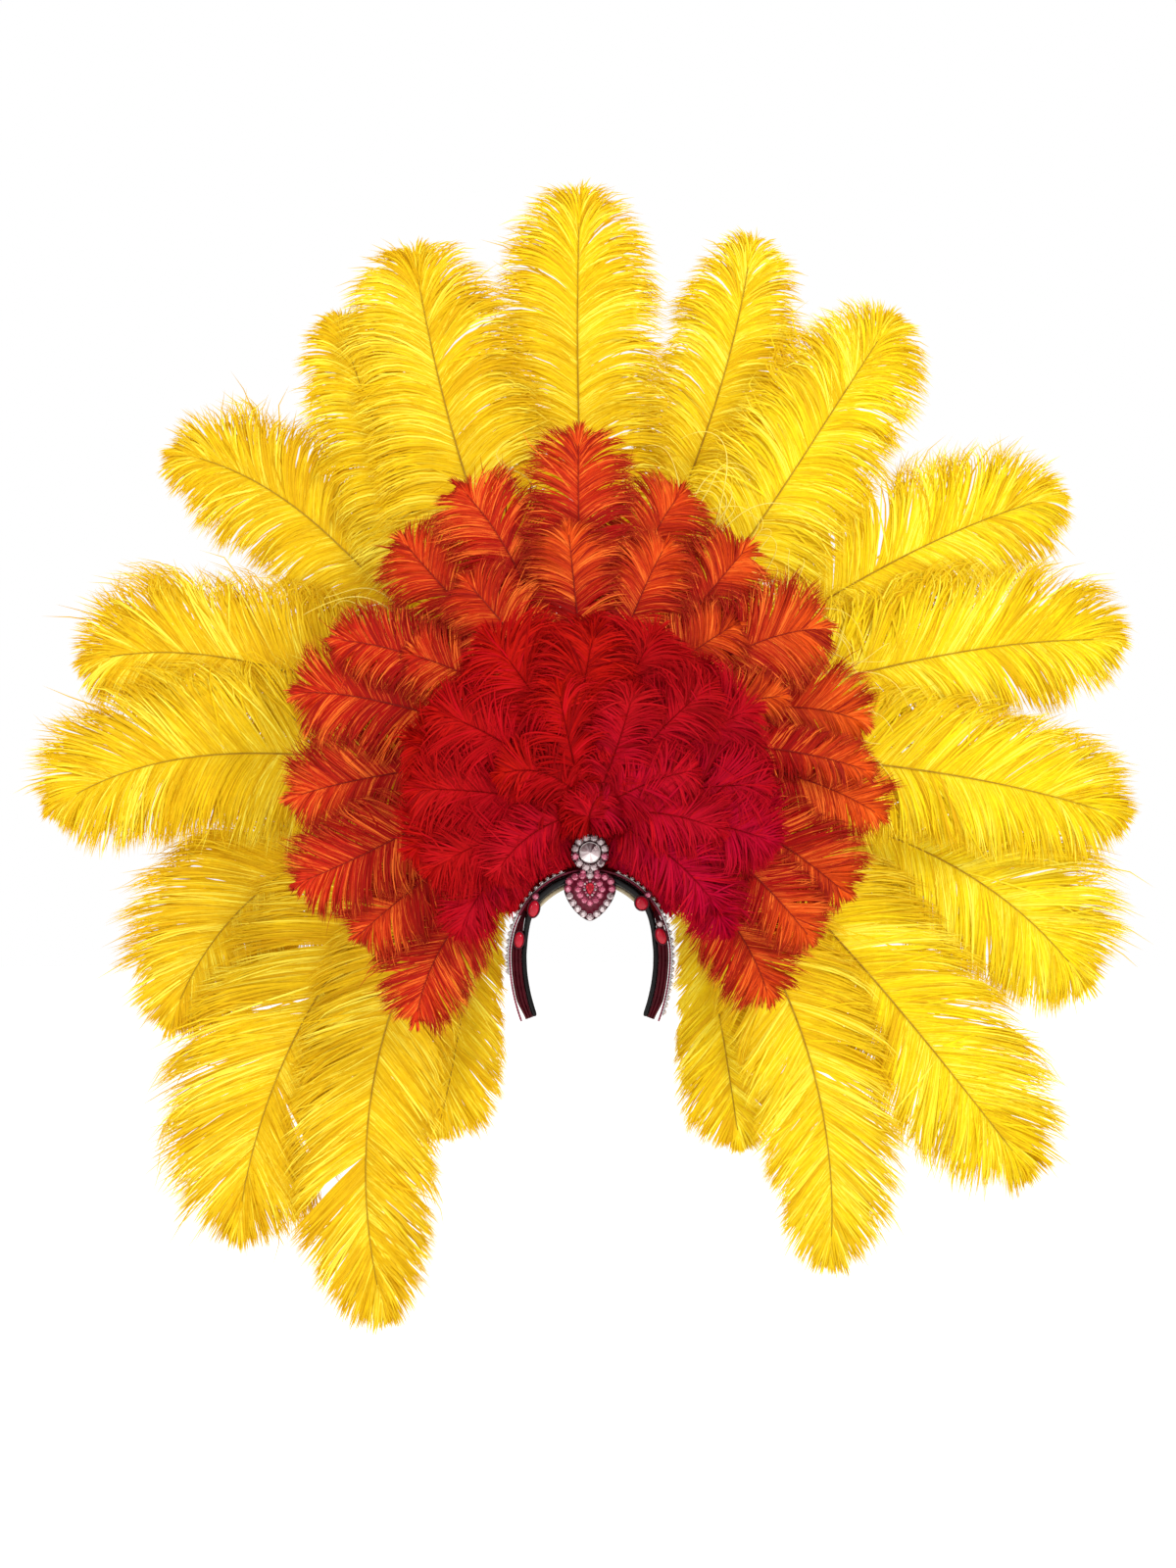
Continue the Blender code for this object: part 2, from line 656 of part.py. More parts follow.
def build_cabochon(row):
    """A ruby oval in a raised rim, with its small round stone where it has one."""
    turn = math.radians(row.turn)
    bm = bmesh.new()
    add_oval(
        bm, (0, 0), row.half_width + CABOCHON_RIM, row.half_height + CABOCHON_RIM, CABOCHON_RIM_HEIGHT, 16, turn
    )
    spot = arch_point(row.along, row.inset, front_of_band(row) - GAP)
    obj = place(mesh_from(bm, row.name), row.name, RUBY, spot, FACING_FRONT)
    stones = bmesh.new()
    add_dome(stones, (0, 0), row.half_width, row.half_height, CABOCHON_RIM_HEIGHT, CABOCHON_DOME, turn)
    fuse(obj, stones, row.name + "_dome")
    if row.bead is None:
        return
    bead = bmesh.new()
    away = math.radians(row.bead)
    far = row.half_height + CABOCHON_RIM + BEAD_RADIUS * 0.8
    centre = (far * math.sin(away), far * math.cos(away))
    add_oval(bead, centre, BEAD_RADIUS + BEAD_RIM, BEAD_RADIUS + BEAD_RIM, CABOCHON_RIM_HEIGHT * 0.9, 12)
    fuse(obj, bead, row.name + "_bead_rim")
    dome = bmesh.new()
    add_dome(dome, centre, BEAD_RADIUS, BEAD_RADIUS, CABOCHON_RIM_HEIGHT * 0.9, CABOCHON_DOME * 0.8)
    fuse(obj, dome, row.name + "_bead")


def plate_radius(degrees):
    """Radius of the backing plate around the hub in a direction from straight up."""
    widen = smooth((abs(degrees) - PLATE_WIDENS_FROM) / (PLATE_WIDENS_TO - PLATE_WIDENS_FROM))
    return PLATE_TOP_RADIUS + (PLATE_LOW_RADIUS - PLATE_TOP_RADIUS) * widen


def polar(degrees, radius, hub_z):
    """Point at a radius from a hub, in a direction clockwise from straight up."""
    angle = math.radians(degrees)
    return Vector((radius * math.sin(angle), 0, hub_z + radius * math.cos(angle)))


def build_backing_plate():
    """Flat plate that stands on the shell and carries the quills on both its faces."""
    outline = []
    for degrees in arch_places(-PLATE_LOW_ANGLE, PLATE_LOW_ANGLE, PLATE_STEPS):
        outline.append(polar(degrees, plate_radius(degrees), HUB_Z))
    for along in reversed(shell_places(PLATE_HUG_STATIONS)):
        outline.append(arch_point(along, shell_inset(along) - GAP))
    curve = bpy.data.curves.new("backing_plate", "CURVE")
    curve.dimensions = "2D"
    curve.fill_mode = "BOTH"
    curve.extrude = PLATE_THICKNESS / 2
    spline = curve.splines.new("POLY")
    spline.points.add(len(outline) - 1)
    for point, spot in zip(spline.points, outline):
        point.co = (spot.x, spot.z, 0.0, 1.0)
    spline.use_cyclic_u = True
    where = (0, PLATE_FRONT + PLATE_THICKNESS / 2, 0)
    place(curve, "backing_plate", PLATE_FELT, where, FACING_FRONT)


def root_radius(ring, row):
    """Where a plume's quill starts: on the plate's rim, or around the red hub."""
    if ring is RED:
        return RED_ROOT_RADIUS
    return plate_radius(row.root) - QUILL_SEAT


def rachis_point(ring, row, share):
    """Point of the rachis as seen from the front, share going from 0 at the root to 1 at the tip."""
    direction = (
        row.root * (1 - share) * (1 - 2 * share)
        + row.middle * 4 * share * (1 - share)
        + row.tip * share * (2 * share - 1)
    )
    start = root_radius(ring, row)
    return polar(direction, start + (ring.reach * row.reach - start) * share, ring.hub_z)


def ring_depth(ring, row, point):
    """Y of a plume's middle surface: one shape for the whole ring, with a step for each level."""
    radius = (point - Vector((0, 0, ring.hub_z))).length
    if ring.side > 0:
        seat = PLATE_FRONT + PLATE_THICKNESS + GAP + ring.quill
    else:
        seat = PLATE_FRONT - GAP - ring.quill
    rise = smooth((radius - root_radius(ring, row)) / ring.ramp)
    share = radius / ring.reach
    bend = max(share - ring.curl_start, 0.0) / (1 - ring.curl_start)
    away = ring.side * (ring.stand_off + row.level * ring.level_gap) + ring.lean * share
    return seat + rise * (away - ring.curl * bend**2)


def vane_width(share):
    """Half width of the vane as a share, over its length from its start to its tip."""
    swell = 1 - max(1 - share / VANE_SWELL, 0.0) ** 2
    taper = max(share - (1 - VANE_ROUND), 0.0) / VANE_ROUND
    return math.sqrt(max(swell, 0.0)) * math.sqrt(max(1 - taper**2, 0.0))


def plume_section(ring, row, share, left, right, spine, edge):
    """Six points around the rachis: two at each edge and one on each face of the spine."""
    step = 0.01
    run = rachis_point(ring, row, min(share + step, 1.0)) - rachis_point(ring, row, max(share - step, 0.0))
    along = run.normalized()
    across = Vector((along.z, 0, -along.x))
    middle = rachis_point(ring, row, share)
    widest = ring.width * row.width / 2
    spots = ((-left, -edge), (0.0, -spine), (right, -edge), (right, edge), (0.0, spine), (-left, edge))
    ring_points = []
    for offset, thick in spots:
        vane = max(abs(offset) - ring.quill, 0.0)
        spot = middle + across * offset + along * (BARB_SWEEP * vane)
        camber = VANE_CAMBER * (vane / widest) ** 2
        spot.y = ring_depth(ring, row, spot) + camber + thick
        ring_points.append(spot)
    return ring_points


def build_plume(ring, row, name):
    """One plume: a quill that opens into a vane of locks, as one closed solid from root to tip."""
    quill = ring.quill
    rings = [plume_section(ring, row, share, quill, quill, quill, quill * 0.5) for share in (0.0, ring.vane_start / 2)]
    widest = ring.width * row.width / 2
    for index in range(ring.sections):
        vane = index / ring.sections
        share = ring.vane_start + (1 - ring.vane_start) * vane
        half = max(widest * vane_width(vane), quill)
        notch = half * LOCK_NOTCH if index > 1 else 0.0
        left = half - (notch if index % 2 else 0.0)
        right = half - (0.0 if index % 2 else notch)
        slim = 1 - 0.5 * vane
        rings.append(plume_section(ring, row, share, left, right, ring.spine / 2 * slim, EDGE_THICKNESS / 2))
    tip = rachis_point(ring, row, 1.0)
    tip.y = ring_depth(ring, row, tip)
    root = rachis_point(ring, row, 0.0)
    root.y = ring_depth(ring, row, root)
    bm = bmesh.new()
    loft(bm, [[point - root for point in section] for section in rings], tip - root)
    finish = ("plume_" + ring.name, ring.colour, 0.75, 0.0)
    place(mesh_from(bm, name), name, finish, root)


def main():
    """Builds the headdress."""
    clear_scene()
    parts = make_collection("carnival_feather_headdress")
    make_collection("fused_shapes").hide_render = True
    parts.objects.link(bpy.data.objects.new("head_rest", None))
    build_headband()
    build_side_panel("side_panel_left", -1)
    build_side_panel("side_panel_right", 1)
    for chain in EDGE_CHAINS:
        build_edge_chain(chain)
    build_medallion()
    build_finial()
    for row in CABOCHONS:
        build_cabochon(row)
    build_backing_plate()
    for ring, rows in ((YELLOW, YELLOW_PLUMES), (ORANGE, ORANGE_PLUMES), (RED, RED_PLUMES)):
        for index, row in enumerate(rows):
            build_plume(ring, row, f"plume_{ring.name}_{index + 1:02d}")


main()
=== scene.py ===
"""Looks of the carnival feather headdress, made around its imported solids.

Metres, +Z up, the front faces -Y. The origin is where the comfort strip rests on the crown of the head.
"""

import logging
import math
from dataclasses import dataclass, field
from enum import Enum

import bpy
import numpy as np
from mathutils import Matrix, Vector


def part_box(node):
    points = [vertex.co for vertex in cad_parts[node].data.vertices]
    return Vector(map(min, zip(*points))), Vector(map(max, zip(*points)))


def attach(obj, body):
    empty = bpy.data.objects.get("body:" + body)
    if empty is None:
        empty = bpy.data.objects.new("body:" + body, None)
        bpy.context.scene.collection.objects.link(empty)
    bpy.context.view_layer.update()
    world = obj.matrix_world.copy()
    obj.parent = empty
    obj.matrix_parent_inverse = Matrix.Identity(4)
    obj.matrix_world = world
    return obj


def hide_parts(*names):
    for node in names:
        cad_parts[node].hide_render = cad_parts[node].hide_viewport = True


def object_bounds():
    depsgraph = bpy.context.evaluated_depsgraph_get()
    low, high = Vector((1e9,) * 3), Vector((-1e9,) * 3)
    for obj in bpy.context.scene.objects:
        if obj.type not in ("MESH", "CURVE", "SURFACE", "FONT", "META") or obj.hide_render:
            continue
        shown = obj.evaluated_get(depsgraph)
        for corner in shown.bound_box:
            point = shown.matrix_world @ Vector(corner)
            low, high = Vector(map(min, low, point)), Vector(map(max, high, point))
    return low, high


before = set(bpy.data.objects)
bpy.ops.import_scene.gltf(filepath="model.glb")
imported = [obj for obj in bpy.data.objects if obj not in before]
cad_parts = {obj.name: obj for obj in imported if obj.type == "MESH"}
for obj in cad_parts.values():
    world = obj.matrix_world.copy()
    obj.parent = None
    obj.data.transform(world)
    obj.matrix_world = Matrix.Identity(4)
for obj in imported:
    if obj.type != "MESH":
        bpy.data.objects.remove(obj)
CAD_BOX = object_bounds()
BODY = "root"
GAP = 0.0003

LOG = logging.getLogger("headdress")

Array = np.ndarray
Colour = tuple[float, float, float]
Point = tuple[float, float, float]


class Ring(Enum):
    """The three rings of plumes."""

    YELLOW = "yellow"
    ORANGE = "orange"
    RED = "red"


class Side(Enum):
    """Left and right as seen from the front."""

    LEFT = -1
    RIGHT = 1


class Facets(Enum):
    """How a stone is cut."""

    CHATON = "chaton"
    CONE = "cone"


def ease(share: Array | float) -> Array:
    """Eases from 0 to 1 as share goes from 0 to 1.

    Args:
        share: One value or an array of them.

    Returns:
        The eased values, held at 0 and 1 outside that range.
    """
    held = np.clip(share, 0.0, 1.0)
    return held * held * (3 - 2 * held)


def unit(vectors: Array) -> Array:
    """Scales vectors to length one.

    Args:
        vectors: Vectors along the last axis.

    Returns:
        The unit vectors.
    """
    return vectors / np.maximum(np.linalg.norm(vectors, axis=-1, keepdims=True), 1e-9)


class NodeSheet:
    """Lays out the nodes of one tree."""

    def __init__(self, tree: bpy.types.NodeTree) -> None:
        """Takes the tree that the nodes go in."""
        self.tree = tree

    def add(self, kind: str, inputs: dict | None = None, **settings: object) -> bpy.types.Node:
        """Adds a node.

        Args:
            kind: The node's type without the ShaderNode in front.
            inputs: Values or sockets by input name or index.
            settings: Options of the node itself.

        Returns:
            The new node.
        """
        node = self.tree.nodes.new("ShaderNode" + kind)
        for name, value in settings.items():
            setattr(node, name, value)
        for key, value in (inputs or {}).items():
            if isinstance(value, bpy.types.NodeSocket):
                self.tree.links.new(value, node.inputs[key])
            else:
                node.inputs[key].default_value = value
        return node

    def mix(self, share: object, first: object, second: object, blend: str = "MIX") -> bpy.types.NodeSocket:
        """Mixes two colours.

        Args:
            share: How much of the second, as a value or socket.
            first: Colour or socket.
            second: Colour or socket.
            blend: The kind of mix.

        Returns:
            The mixed colour's socket.
        """
        node = self.add("Mix", {0: share, 6: first, 7: second}, data_type="RGBA", blend_type=blend)
        return node.outputs[2]

    def math(self, what: str, first: object, second: object = 0.0) -> bpy.types.NodeSocket:
        """Adds a Math node.

        Args:
            what: Its operation.
            first: Value or socket.
            second: Value or socket.

        Returns:
            The result's socket.
        """
        return self.add("Math", {0: first, 1: second}, operation=what).outputs[0]

    def group(self, tree: bpy.types.NodeTree, inputs: dict) -> bpy.types.Node:
        """Places a node group.

        Args:
            tree: The group's tree.
            inputs: Values or sockets by input name.

        Returns:
            The group's node.
        """
        node = self.tree.nodes.new("ShaderNodeGroup")
        node.node_tree = tree
        for key, value in inputs.items():
            if isinstance(value, bpy.types.NodeSocket):
                self.tree.links.new(value, node.inputs[key])
            else:
                node.inputs[key].default_value = value
        return node


def rgba(colour: Colour) -> tuple[float, float, float, float]:
    """A colour with full opacity."""
    return (*colour, 1.0)


class Effects:
    """The surface effects that several finishes share, as shader node groups."""

    def __init__(self) -> None:
        """Builds each group once."""
        self.mottle = self._mottle()
        self.fibre = self._fibre()
        self.weave = self._weave()

    @staticmethod
    def _tree(name: str, inputs: dict[str, object], outputs: dict[str, str]) -> bpy.types.NodeTree:
        """Makes an empty group with its sockets.

        Args:
            name: The group's name.
            inputs: Default value of each input; four numbers make a colour and three a vector.
            outputs: Socket type of each output.

        Returns:
            The group's tree.
        """
        tree = bpy.data.node_groups.new(name, "ShaderNodeTree")
        for label, value in inputs.items():
            kinds = {4: "NodeSocketColor", 3: "NodeSocketVector"}
            kind = kinds[len(value)] if isinstance(value, tuple) else "NodeSocketFloat"
            socket = tree.interface.new_socket(name=label, in_out="INPUT", socket_type=kind)
            socket.default_value = value
        for label, kind in outputs.items():
            tree.interface.new_socket(name=label, in_out="OUTPUT", socket_type=kind)
        return tree

    def _mottle(self) -> bpy.types.NodeTree:
        """Uneven colour over a surface, from two sizes of noise.

        Returns:
            The group, which puts out a colour and its mask.
        """
        tree = self._tree(
            "uneven_dye",
            {"First": (1.0, 1.0, 1.0, 1.0), "Second": (0.5, 0.5, 0.5, 1.0), "Scale": 40.0, "Amount": 1.0},
            {"Colour": "NodeSocketColor", "Mask": "NodeSocketFloat"},
        )
        sheet = NodeSheet(tree)
        given = tree.nodes.new("NodeGroupInput").outputs
        where = sheet.add("TexCoord").outputs["Object"]
        broad = sheet.add("TexNoise", {"Vector": where, "Scale": given["Scale"], "Detail": 3.0}).outputs["Fac"]
        fine_scale = sheet.math("MULTIPLY", given["Scale"], 6.3)
        fine = sheet.add("TexNoise", {"Vector": where, "Scale": fine_scale, "Detail": 2.0}).outputs["Fac"]
        both = sheet.math("ADD", sheet.math("MULTIPLY", broad, 0.65), sheet.math("MULTIPLY", fine, 0.35))
        spread = sheet.add("MapRange", {0: both, 1: 0.36, 2: 0.64, 3: 0.0, 4: 1.0}).outputs[0]
        mask = sheet.math("MULTIPLY", spread, given["Amount"])
        out = tree.nodes.new("NodeGroupOutput")
        tree.links.new(sheet.mix(mask, given["First"], given["Second"]), out.inputs["Colour"])
        tree.links.new(mask, out.inputs["Mask"])
        return tree

    def _fibre(self) -> bpy.types.NodeTree:
        """Light and dark strands, from a tone and a place that runs fast across the strands.

        Returns:
            The group, which puts out a colour and a height.
        """
        tree = self._tree(
            "strand_tone",
            {"Colour": (1.0, 1.0, 1.0, 1.0), "Shade": (0.4, 0.4, 0.4, 1.0), "Glow": (1.0, 1.0, 1.0, 1.0),
             "Tone": 0.5, "Where": (0.0, 0.0, 0.0), "Scale": 1.0, "Contrast": 1.4},
            {"Colour": "NodeSocketColor", "Height": "NodeSocketFloat"},
        )
        sheet = NodeSheet(tree)
        given = tree.nodes.new("NodeGroupInput").outputs
        grain = sheet.add("TexNoise", {"Vector": given["Where"], "Scale": given["Scale"], "Detail": 1.0})
        grain = grain.outputs["Fac"]
        swing = sheet.math("MULTIPLY", sheet.math("SUBTRACT", grain, 0.5), given["Contrast"])
        moved = sheet.math("ADD", given["Tone"], swing)
        low = sheet.add("MapRange", {0: moved, 1: 0.0, 2: 0.5, 3: 1.0, 4: 0.0}).outputs[0]
        high = sheet.add("MapRange", {0: moved, 1: 0.62, 2: 1.0, 3: 0.0, 4: 1.0}).outputs[0]
        shaded = sheet.mix(low, given["Colour"], given["Shade"])
        lit = sheet.mix(high, shaded, given["Glow"])
        out = tree.nodes.new("NodeGroupOutput")
        tree.links.new(lit, out.inputs["Colour"])
        tree.links.new(grain, out.inputs["Height"])
        return tree

    def _weave(self) -> bpy.types.NodeTree:
        """Threads crossing at right angles.

        Returns:
            The group, which puts out a height and a mask where painted shade falls between the threads.
        """
        tree = self._tree("thread_weave", {"Scale": 900.0, "Slant": 1.0},
                          {"Height": "NodeSocketFloat", "Shaded_gaps": "NodeSocketFloat"})
        sheet = NodeSheet(tree)
        given = tree.nodes.new("NodeGroupInput").outputs
        where = sheet.add("SeparateXYZ", {0: sheet.add("TexCoord").outputs["Object"]}).outputs
        along = sheet.math("ADD", where["Z"], sheet.math("MULTIPLY", where["X"], given["Slant"]))
        across = sheet.math("SUBTRACT", where["X"], sheet.math("MULTIPLY", where["Y"], given["Slant"]))
        warp = sheet.math("SINE", sheet.math("MULTIPLY", along, given["Scale"]))
        weft = sheet.math("SINE", sheet.math("MULTIPLY", across, given["Scale"]))
        height = sheet.math("MULTIPLY", warp, weft)
        shaded_gaps = sheet.add("MapRange", {0: height, 1: -1.0, 2: -0.4, 3: 1.0, 4: 0.0}).outputs[0]
        out = tree.nodes.new("NodeGroupOutput")
        tree.links.new(height, out.inputs["Height"])
        tree.links.new(shaded_gaps, out.inputs["Shaded_gaps"])
        return tree


def new_material(name: str) -> tuple[bpy.types.Material, NodeSheet, bpy.types.Node]:
    """Starts a material.

    Args:
        name: Its name.

    Returns:
        The material, its sheet of nodes and its Principled shader.
    """
    material = bpy.data.materials.new(name)
    material.use_nodes = True
    return material, NodeSheet(material.node_tree), material.node_tree.nodes["Principled BSDF"]


def set_shader(sheet: NodeSheet, shader: bpy.types.Node, **values: object) -> None:
    """Sets or links a shader's inputs.

    Args:
        sheet: The material's sheet.
        shader: Its Principled shader.
        values: Values or sockets, by input name with _ for each space.
    """
    for key, value in values.items():
        socket = shader.inputs[key.replace("_", " ")]
        if isinstance(value, bpy.types.NodeSocket):
            sheet.tree.links.new(value, socket)
        else:
            socket.default_value = value


@dataclass(frozen=True)
class FeatherFinish:
    """Dyed ostrich barbs: colours at the plume's root, along it, and at the barbs' ends; along it the colour is painted
    brighter for plumes on the side that the key light falls on.
    """

    name: str
    root: Colour
    # painted light: body is the colour of plumes on the shaded side, and the next colour is painted brighter for plumes
    # on the lit side
    body: Colour
    painted_lit_body: Colour
    end: Colour | None
    tip: Colour
    shade: Colour
    glow: Colour
    root_from: float
    root_until: float
    roughness: float = 0.60
    gloss: float = 0.12
    sheen: float = 0.15
    # painted glow: a faint emission in the barbs' own colour, in place of light passing through them
    painted_glow: float = 0.06
    strands: float = 1.7
    tip_share: float = 0.6
    contrast: float = 1.1

    def build(self, effects: Effects) -> bpy.types.Material:
        """Builds the material.

        Args:
            effects: The shared effects.

        Returns:
            The material of the barbs.
        """
        material, sheet, shader = new_material(self.name)
        tone = sheet.add("Attribute", attribute_name="tone").outputs["Fac"]
        reach = sheet.add("Attribute", attribute_name="reach").outputs["Fac"]
        height = sheet.add("Attribute", attribute_name="height").outputs["Fac"]
        # painted light: this attribute says how far a plume lies on the lit side, and picks between the shaded and the
        # brighter body colour
        painted_light_side = sheet.add("Attribute", attribute_name="painted_light_side").outputs["Fac"]
        body = sheet.mix(painted_light_side, rgba(self.body), rgba(self.painted_lit_body))
        rooted = sheet.add("MapRange", {0: height, 1: self.root_from, 2: self.root_until, 3: 1.0, 4: 0.0}).outputs[0]
        body = sheet.mix(rooted, body, rgba(self.root))
        if self.end is not None:
            outer = sheet.add("MapRange", {0: height, 1: 0.4, 2: 0.95, 3: 0.0, 4: 0.8}).outputs[0]
            body = sheet.mix(sheet.math("MULTIPLY", outer, sheet.math("SUBTRACT", 1.0, painted_light_side)), body, rgba(self.end))
        ended = sheet.add("MapRange", {0: reach, 1: 0.55, 2: 1.0, 3: 0.0, 4: self.tip_share}).outputs[0]
        body = sheet.mix(ended, body, rgba(self.tip))
        dye = sheet.group(effects.mottle, {"First": (1, 1, 1, 1), "Second": (0.84, 0.80, 0.76, 1), "Scale": 26.0})
        body = sheet.mix(1.0, body, dye.outputs["Colour"], "MULTIPLY")
        across = sheet.add("Attribute", attribute_name="across").outputs["Fac"]
        strand = sheet.math("ADD", sheet.math("MULTIPLY", across, self.strands), sheet.math("MULTIPLY", tone, 57.0))
        where = sheet.add("CombineXYZ", {0: strand, 1: sheet.math("MULTIPLY", reach, 2.5), 2: height}).outputs[0]
        strands = sheet.group(
            effects.fibre,
            {"Colour": body, "Shade": rgba(self.shade), "Glow": rgba(self.glow), "Tone": tone, "Where": where,
             "Contrast": self.contrast},
        )
        bump = sheet.add("Bump", {"Height": strands.outputs["Height"], "Strength": 0.4, "Distance": 0.0006})
        # painted light: the barbs glow faintly in their own colour to fill their shade, standing in for light through
        # the thin barbs
        set_shader(
            sheet, shader,
            Base_Color=strands.outputs["Colour"], Emission_Color=strands.outputs["Colour"],
            Normal=bump.outputs["Normal"], Emission_Strength=self.painted_glow, Roughness=self.roughness,
            Sheen_Weight=self.sheen, Sheen_Roughness=0.4, Sheen_Tint=rgba(self.glow),
            Specular_IOR_Level=self.gloss,
        )
        return material


@dataclass(frozen=True)
class QuillFinish:
    """The horny rachis, with fine lengthwise streaks and a worn gloss."""

    name: str
    colour: Colour
    dark: Colour
    roughness: float = 0.38
    specular: float = 0.2

    def build(self, effects: Effects) -> bpy.types.Material:
        """Builds the material.

        Args:
            effects: The shared effects.

        Returns:
            The material of the quills.
        """
        material, sheet, shader = new_material(self.name)
        dye = sheet.group(effects.mottle, {"First": rgba(self.colour), "Second": rgba(self.dark), "Scale": 60.0})
        rough = sheet.add("MapRange", {0: dye.outputs["Mask"], 3: self.roughness, 4: self.roughness + 0.2})
        set_shader(sheet, shader, Base_Color=dye.outputs["Colour"], Roughness=rough.outputs[0],
                   Specular_IOR_Level=self.specular)
        return material


@dataclass(frozen=True)
class ClothFinish:
    """Woven cloth, from satin to ribbon, with its gloss and thread scale."""

    name: str
    colour: Colour
    worn: Colour
    roughness: float
    sheen: float
    weave_scale: float
    weave_depth: float = 0.00012
    specular: float = 0.5

    def build(self, effects: Effects) -> bpy.types.Material:
        """Builds the material.

        Args:
            effects: The shared effects.

        Returns:
            The material of the cloth.
        """
        material, sheet, shader = new_material(self.name)
        dye = sheet.group(effects.mottle, {"First": rgba(self.colour), "Second": rgba(self.worn), "Scale": 90.0})
        weave = sheet.group(effects.weave, {"Scale": self.weave_scale, "Slant": 0.5})
        # painted shade: the gaps between the threads are darkened towards black
        dark = sheet.math("MULTIPLY", weave.outputs["Shaded_gaps"], 0.35)
        colour = sheet.mix(dark, dye.outputs["Colour"], (0.0, 0.0, 0.0, 1.0))
        bump = sheet.add("Bump", {"Height": weave.outputs["Height"], "Distance": self.weave_depth, "Strength": 0.6})
        rough = sheet.add("MapRange", {0: dye.outputs["Mask"], 3: self.roughness, 4: self.roughness + 0.15})
        set_shader(
            sheet, shader,
            Base_Color=colour, Roughness=rough.outputs[0], Normal=bump.outputs["Normal"],
            Sheen_Weight=self.sheen, Sheen_Roughness=0.35, Specular_IOR_Level=self.specular,
        )
        return material


@dataclass(frozen=True)
class PatentFinish:
    """Glossy coated leather with faint creases and finger marks."""

    name: str
    colour: Colour
    crease: Colour
    roughness: float = 0.05

    def build(self, effects: Effects) -> bpy.types.Material:
        """Builds the material.

        Args:
            effects: The shared effects.

        Returns:
            The material of the roll.
        """
        material, sheet, shader = new_material(self.name)
        dye = sheet.group(effects.mottle, {"First": rgba(self.colour), "Second": rgba(self.crease), "Scale": 120.0})
        bump = sheet.add("Bump", {"Height": dye.outputs["Mask"], "Distance": 0.0003, "Strength": 0.35})
        rough = sheet.add("MapRange", {0: dye.outputs["Mask"], 3: self.roughness, 4: self.roughness + 0.12})
        set_shader(
            sheet, shader,
            Base_Color=dye.outputs["Colour"], Roughness=rough.outputs[0], Normal=bump.outputs["Normal"],
            Specular_IOR_Level=0.20,
        )
        return material


@dataclass(frozen=True)
class StoneFinish:
    """A foiled stone: each facet has its own painted brightness between a deep and a bright colour, which stands in for
    the reflections and glints of its facets.
    """

    name: str
    bright: Colour
    middle: Colour
    deep: Colour
    metallic: float = 0.55
    roughness: float = 0.06
    coat: float = 0.6
    specular: float = 0.5

    def build(self, effects: Effects) -> bpy.types.Material:
        """Builds the material.

        Args:
            effects: The shared effects.

        Returns:
            The material of the stones.
        """
        material, sheet, shader = new_material(self.name)
        # painted reflections and glints: the face tone sets each facet's brightness
        painted_glint = sheet.add("Attribute", attribute_name="tone").outputs["Fac"]
        low = sheet.add("MapRange", {0: painted_glint, 1: 0.0, 2: 0.5, 3: 0.0, 4: 1.0}).outputs[0]
        high = sheet.add("MapRange", {0: painted_glint, 1: 0.5, 2: 1.0, 3: 0.0, 4: 1.0}).outputs[0]
        colour = sheet.mix(high, sheet.mix(low, rgba(self.deep), rgba(self.middle)), rgba(self.bright))
        haze = sheet.group(effects.mottle, {"First": (1, 1, 1, 1), "Second": (0.8, 0.78, 0.78, 1), "Scale": 300.0})
        colour = sheet.mix(1.0, colour, haze.outputs["Colour"], "MULTIPLY")
        rough = sheet.add("MapRange", {0: haze.outputs["Mask"], 3: self.roughness, 4: self.roughness + 0.08})
        set_shader(
            sheet, shader,
            Base_Color=colour, Roughness=rough.outputs[0], Metallic=self.metallic,
            Coat_Weight=self.coat, Coat_Roughness=0.04, Specular_IOR_Level=self.specular,
        )
        return material


@dataclass(frozen=True)
class FeltFinish:
    """Matt felt with loose fibres."""

    name: str
    colour: Colour
    worn: Colour

    def build(self, effects: Effects) -> bpy.types.Material:
        """Builds the material.

        Args:
            effects: The shared effects.

        Returns:
            The material of the felt.
        """
        material, sheet, shader = new_material(self.name)
        dye = sheet.group(effects.mottle, {"First": rgba(self.colour), "Second": rgba(self.worn), "Scale": 35.0})
        fluff = sheet.group(effects.fibre, {
            "Colour": dye.outputs["Colour"], "Shade": rgba(self.colour), "Glow": rgba(self.worn),
            "Tone": 0.6, "Where": sheet.add("TexCoord").outputs["Object"], "Scale": 1400.0})
        bump = sheet.add("Bump", {"Height": fluff.outputs["Height"], "Distance": 0.0006, "Strength": 0.8})
        set_shader(
            sheet, shader,
            Base_Color=fluff.outputs["Colour"], Normal=bump.outputs["Normal"], Roughness=0.92,
            Specular_IOR_Level=0.05,
        )
        return material


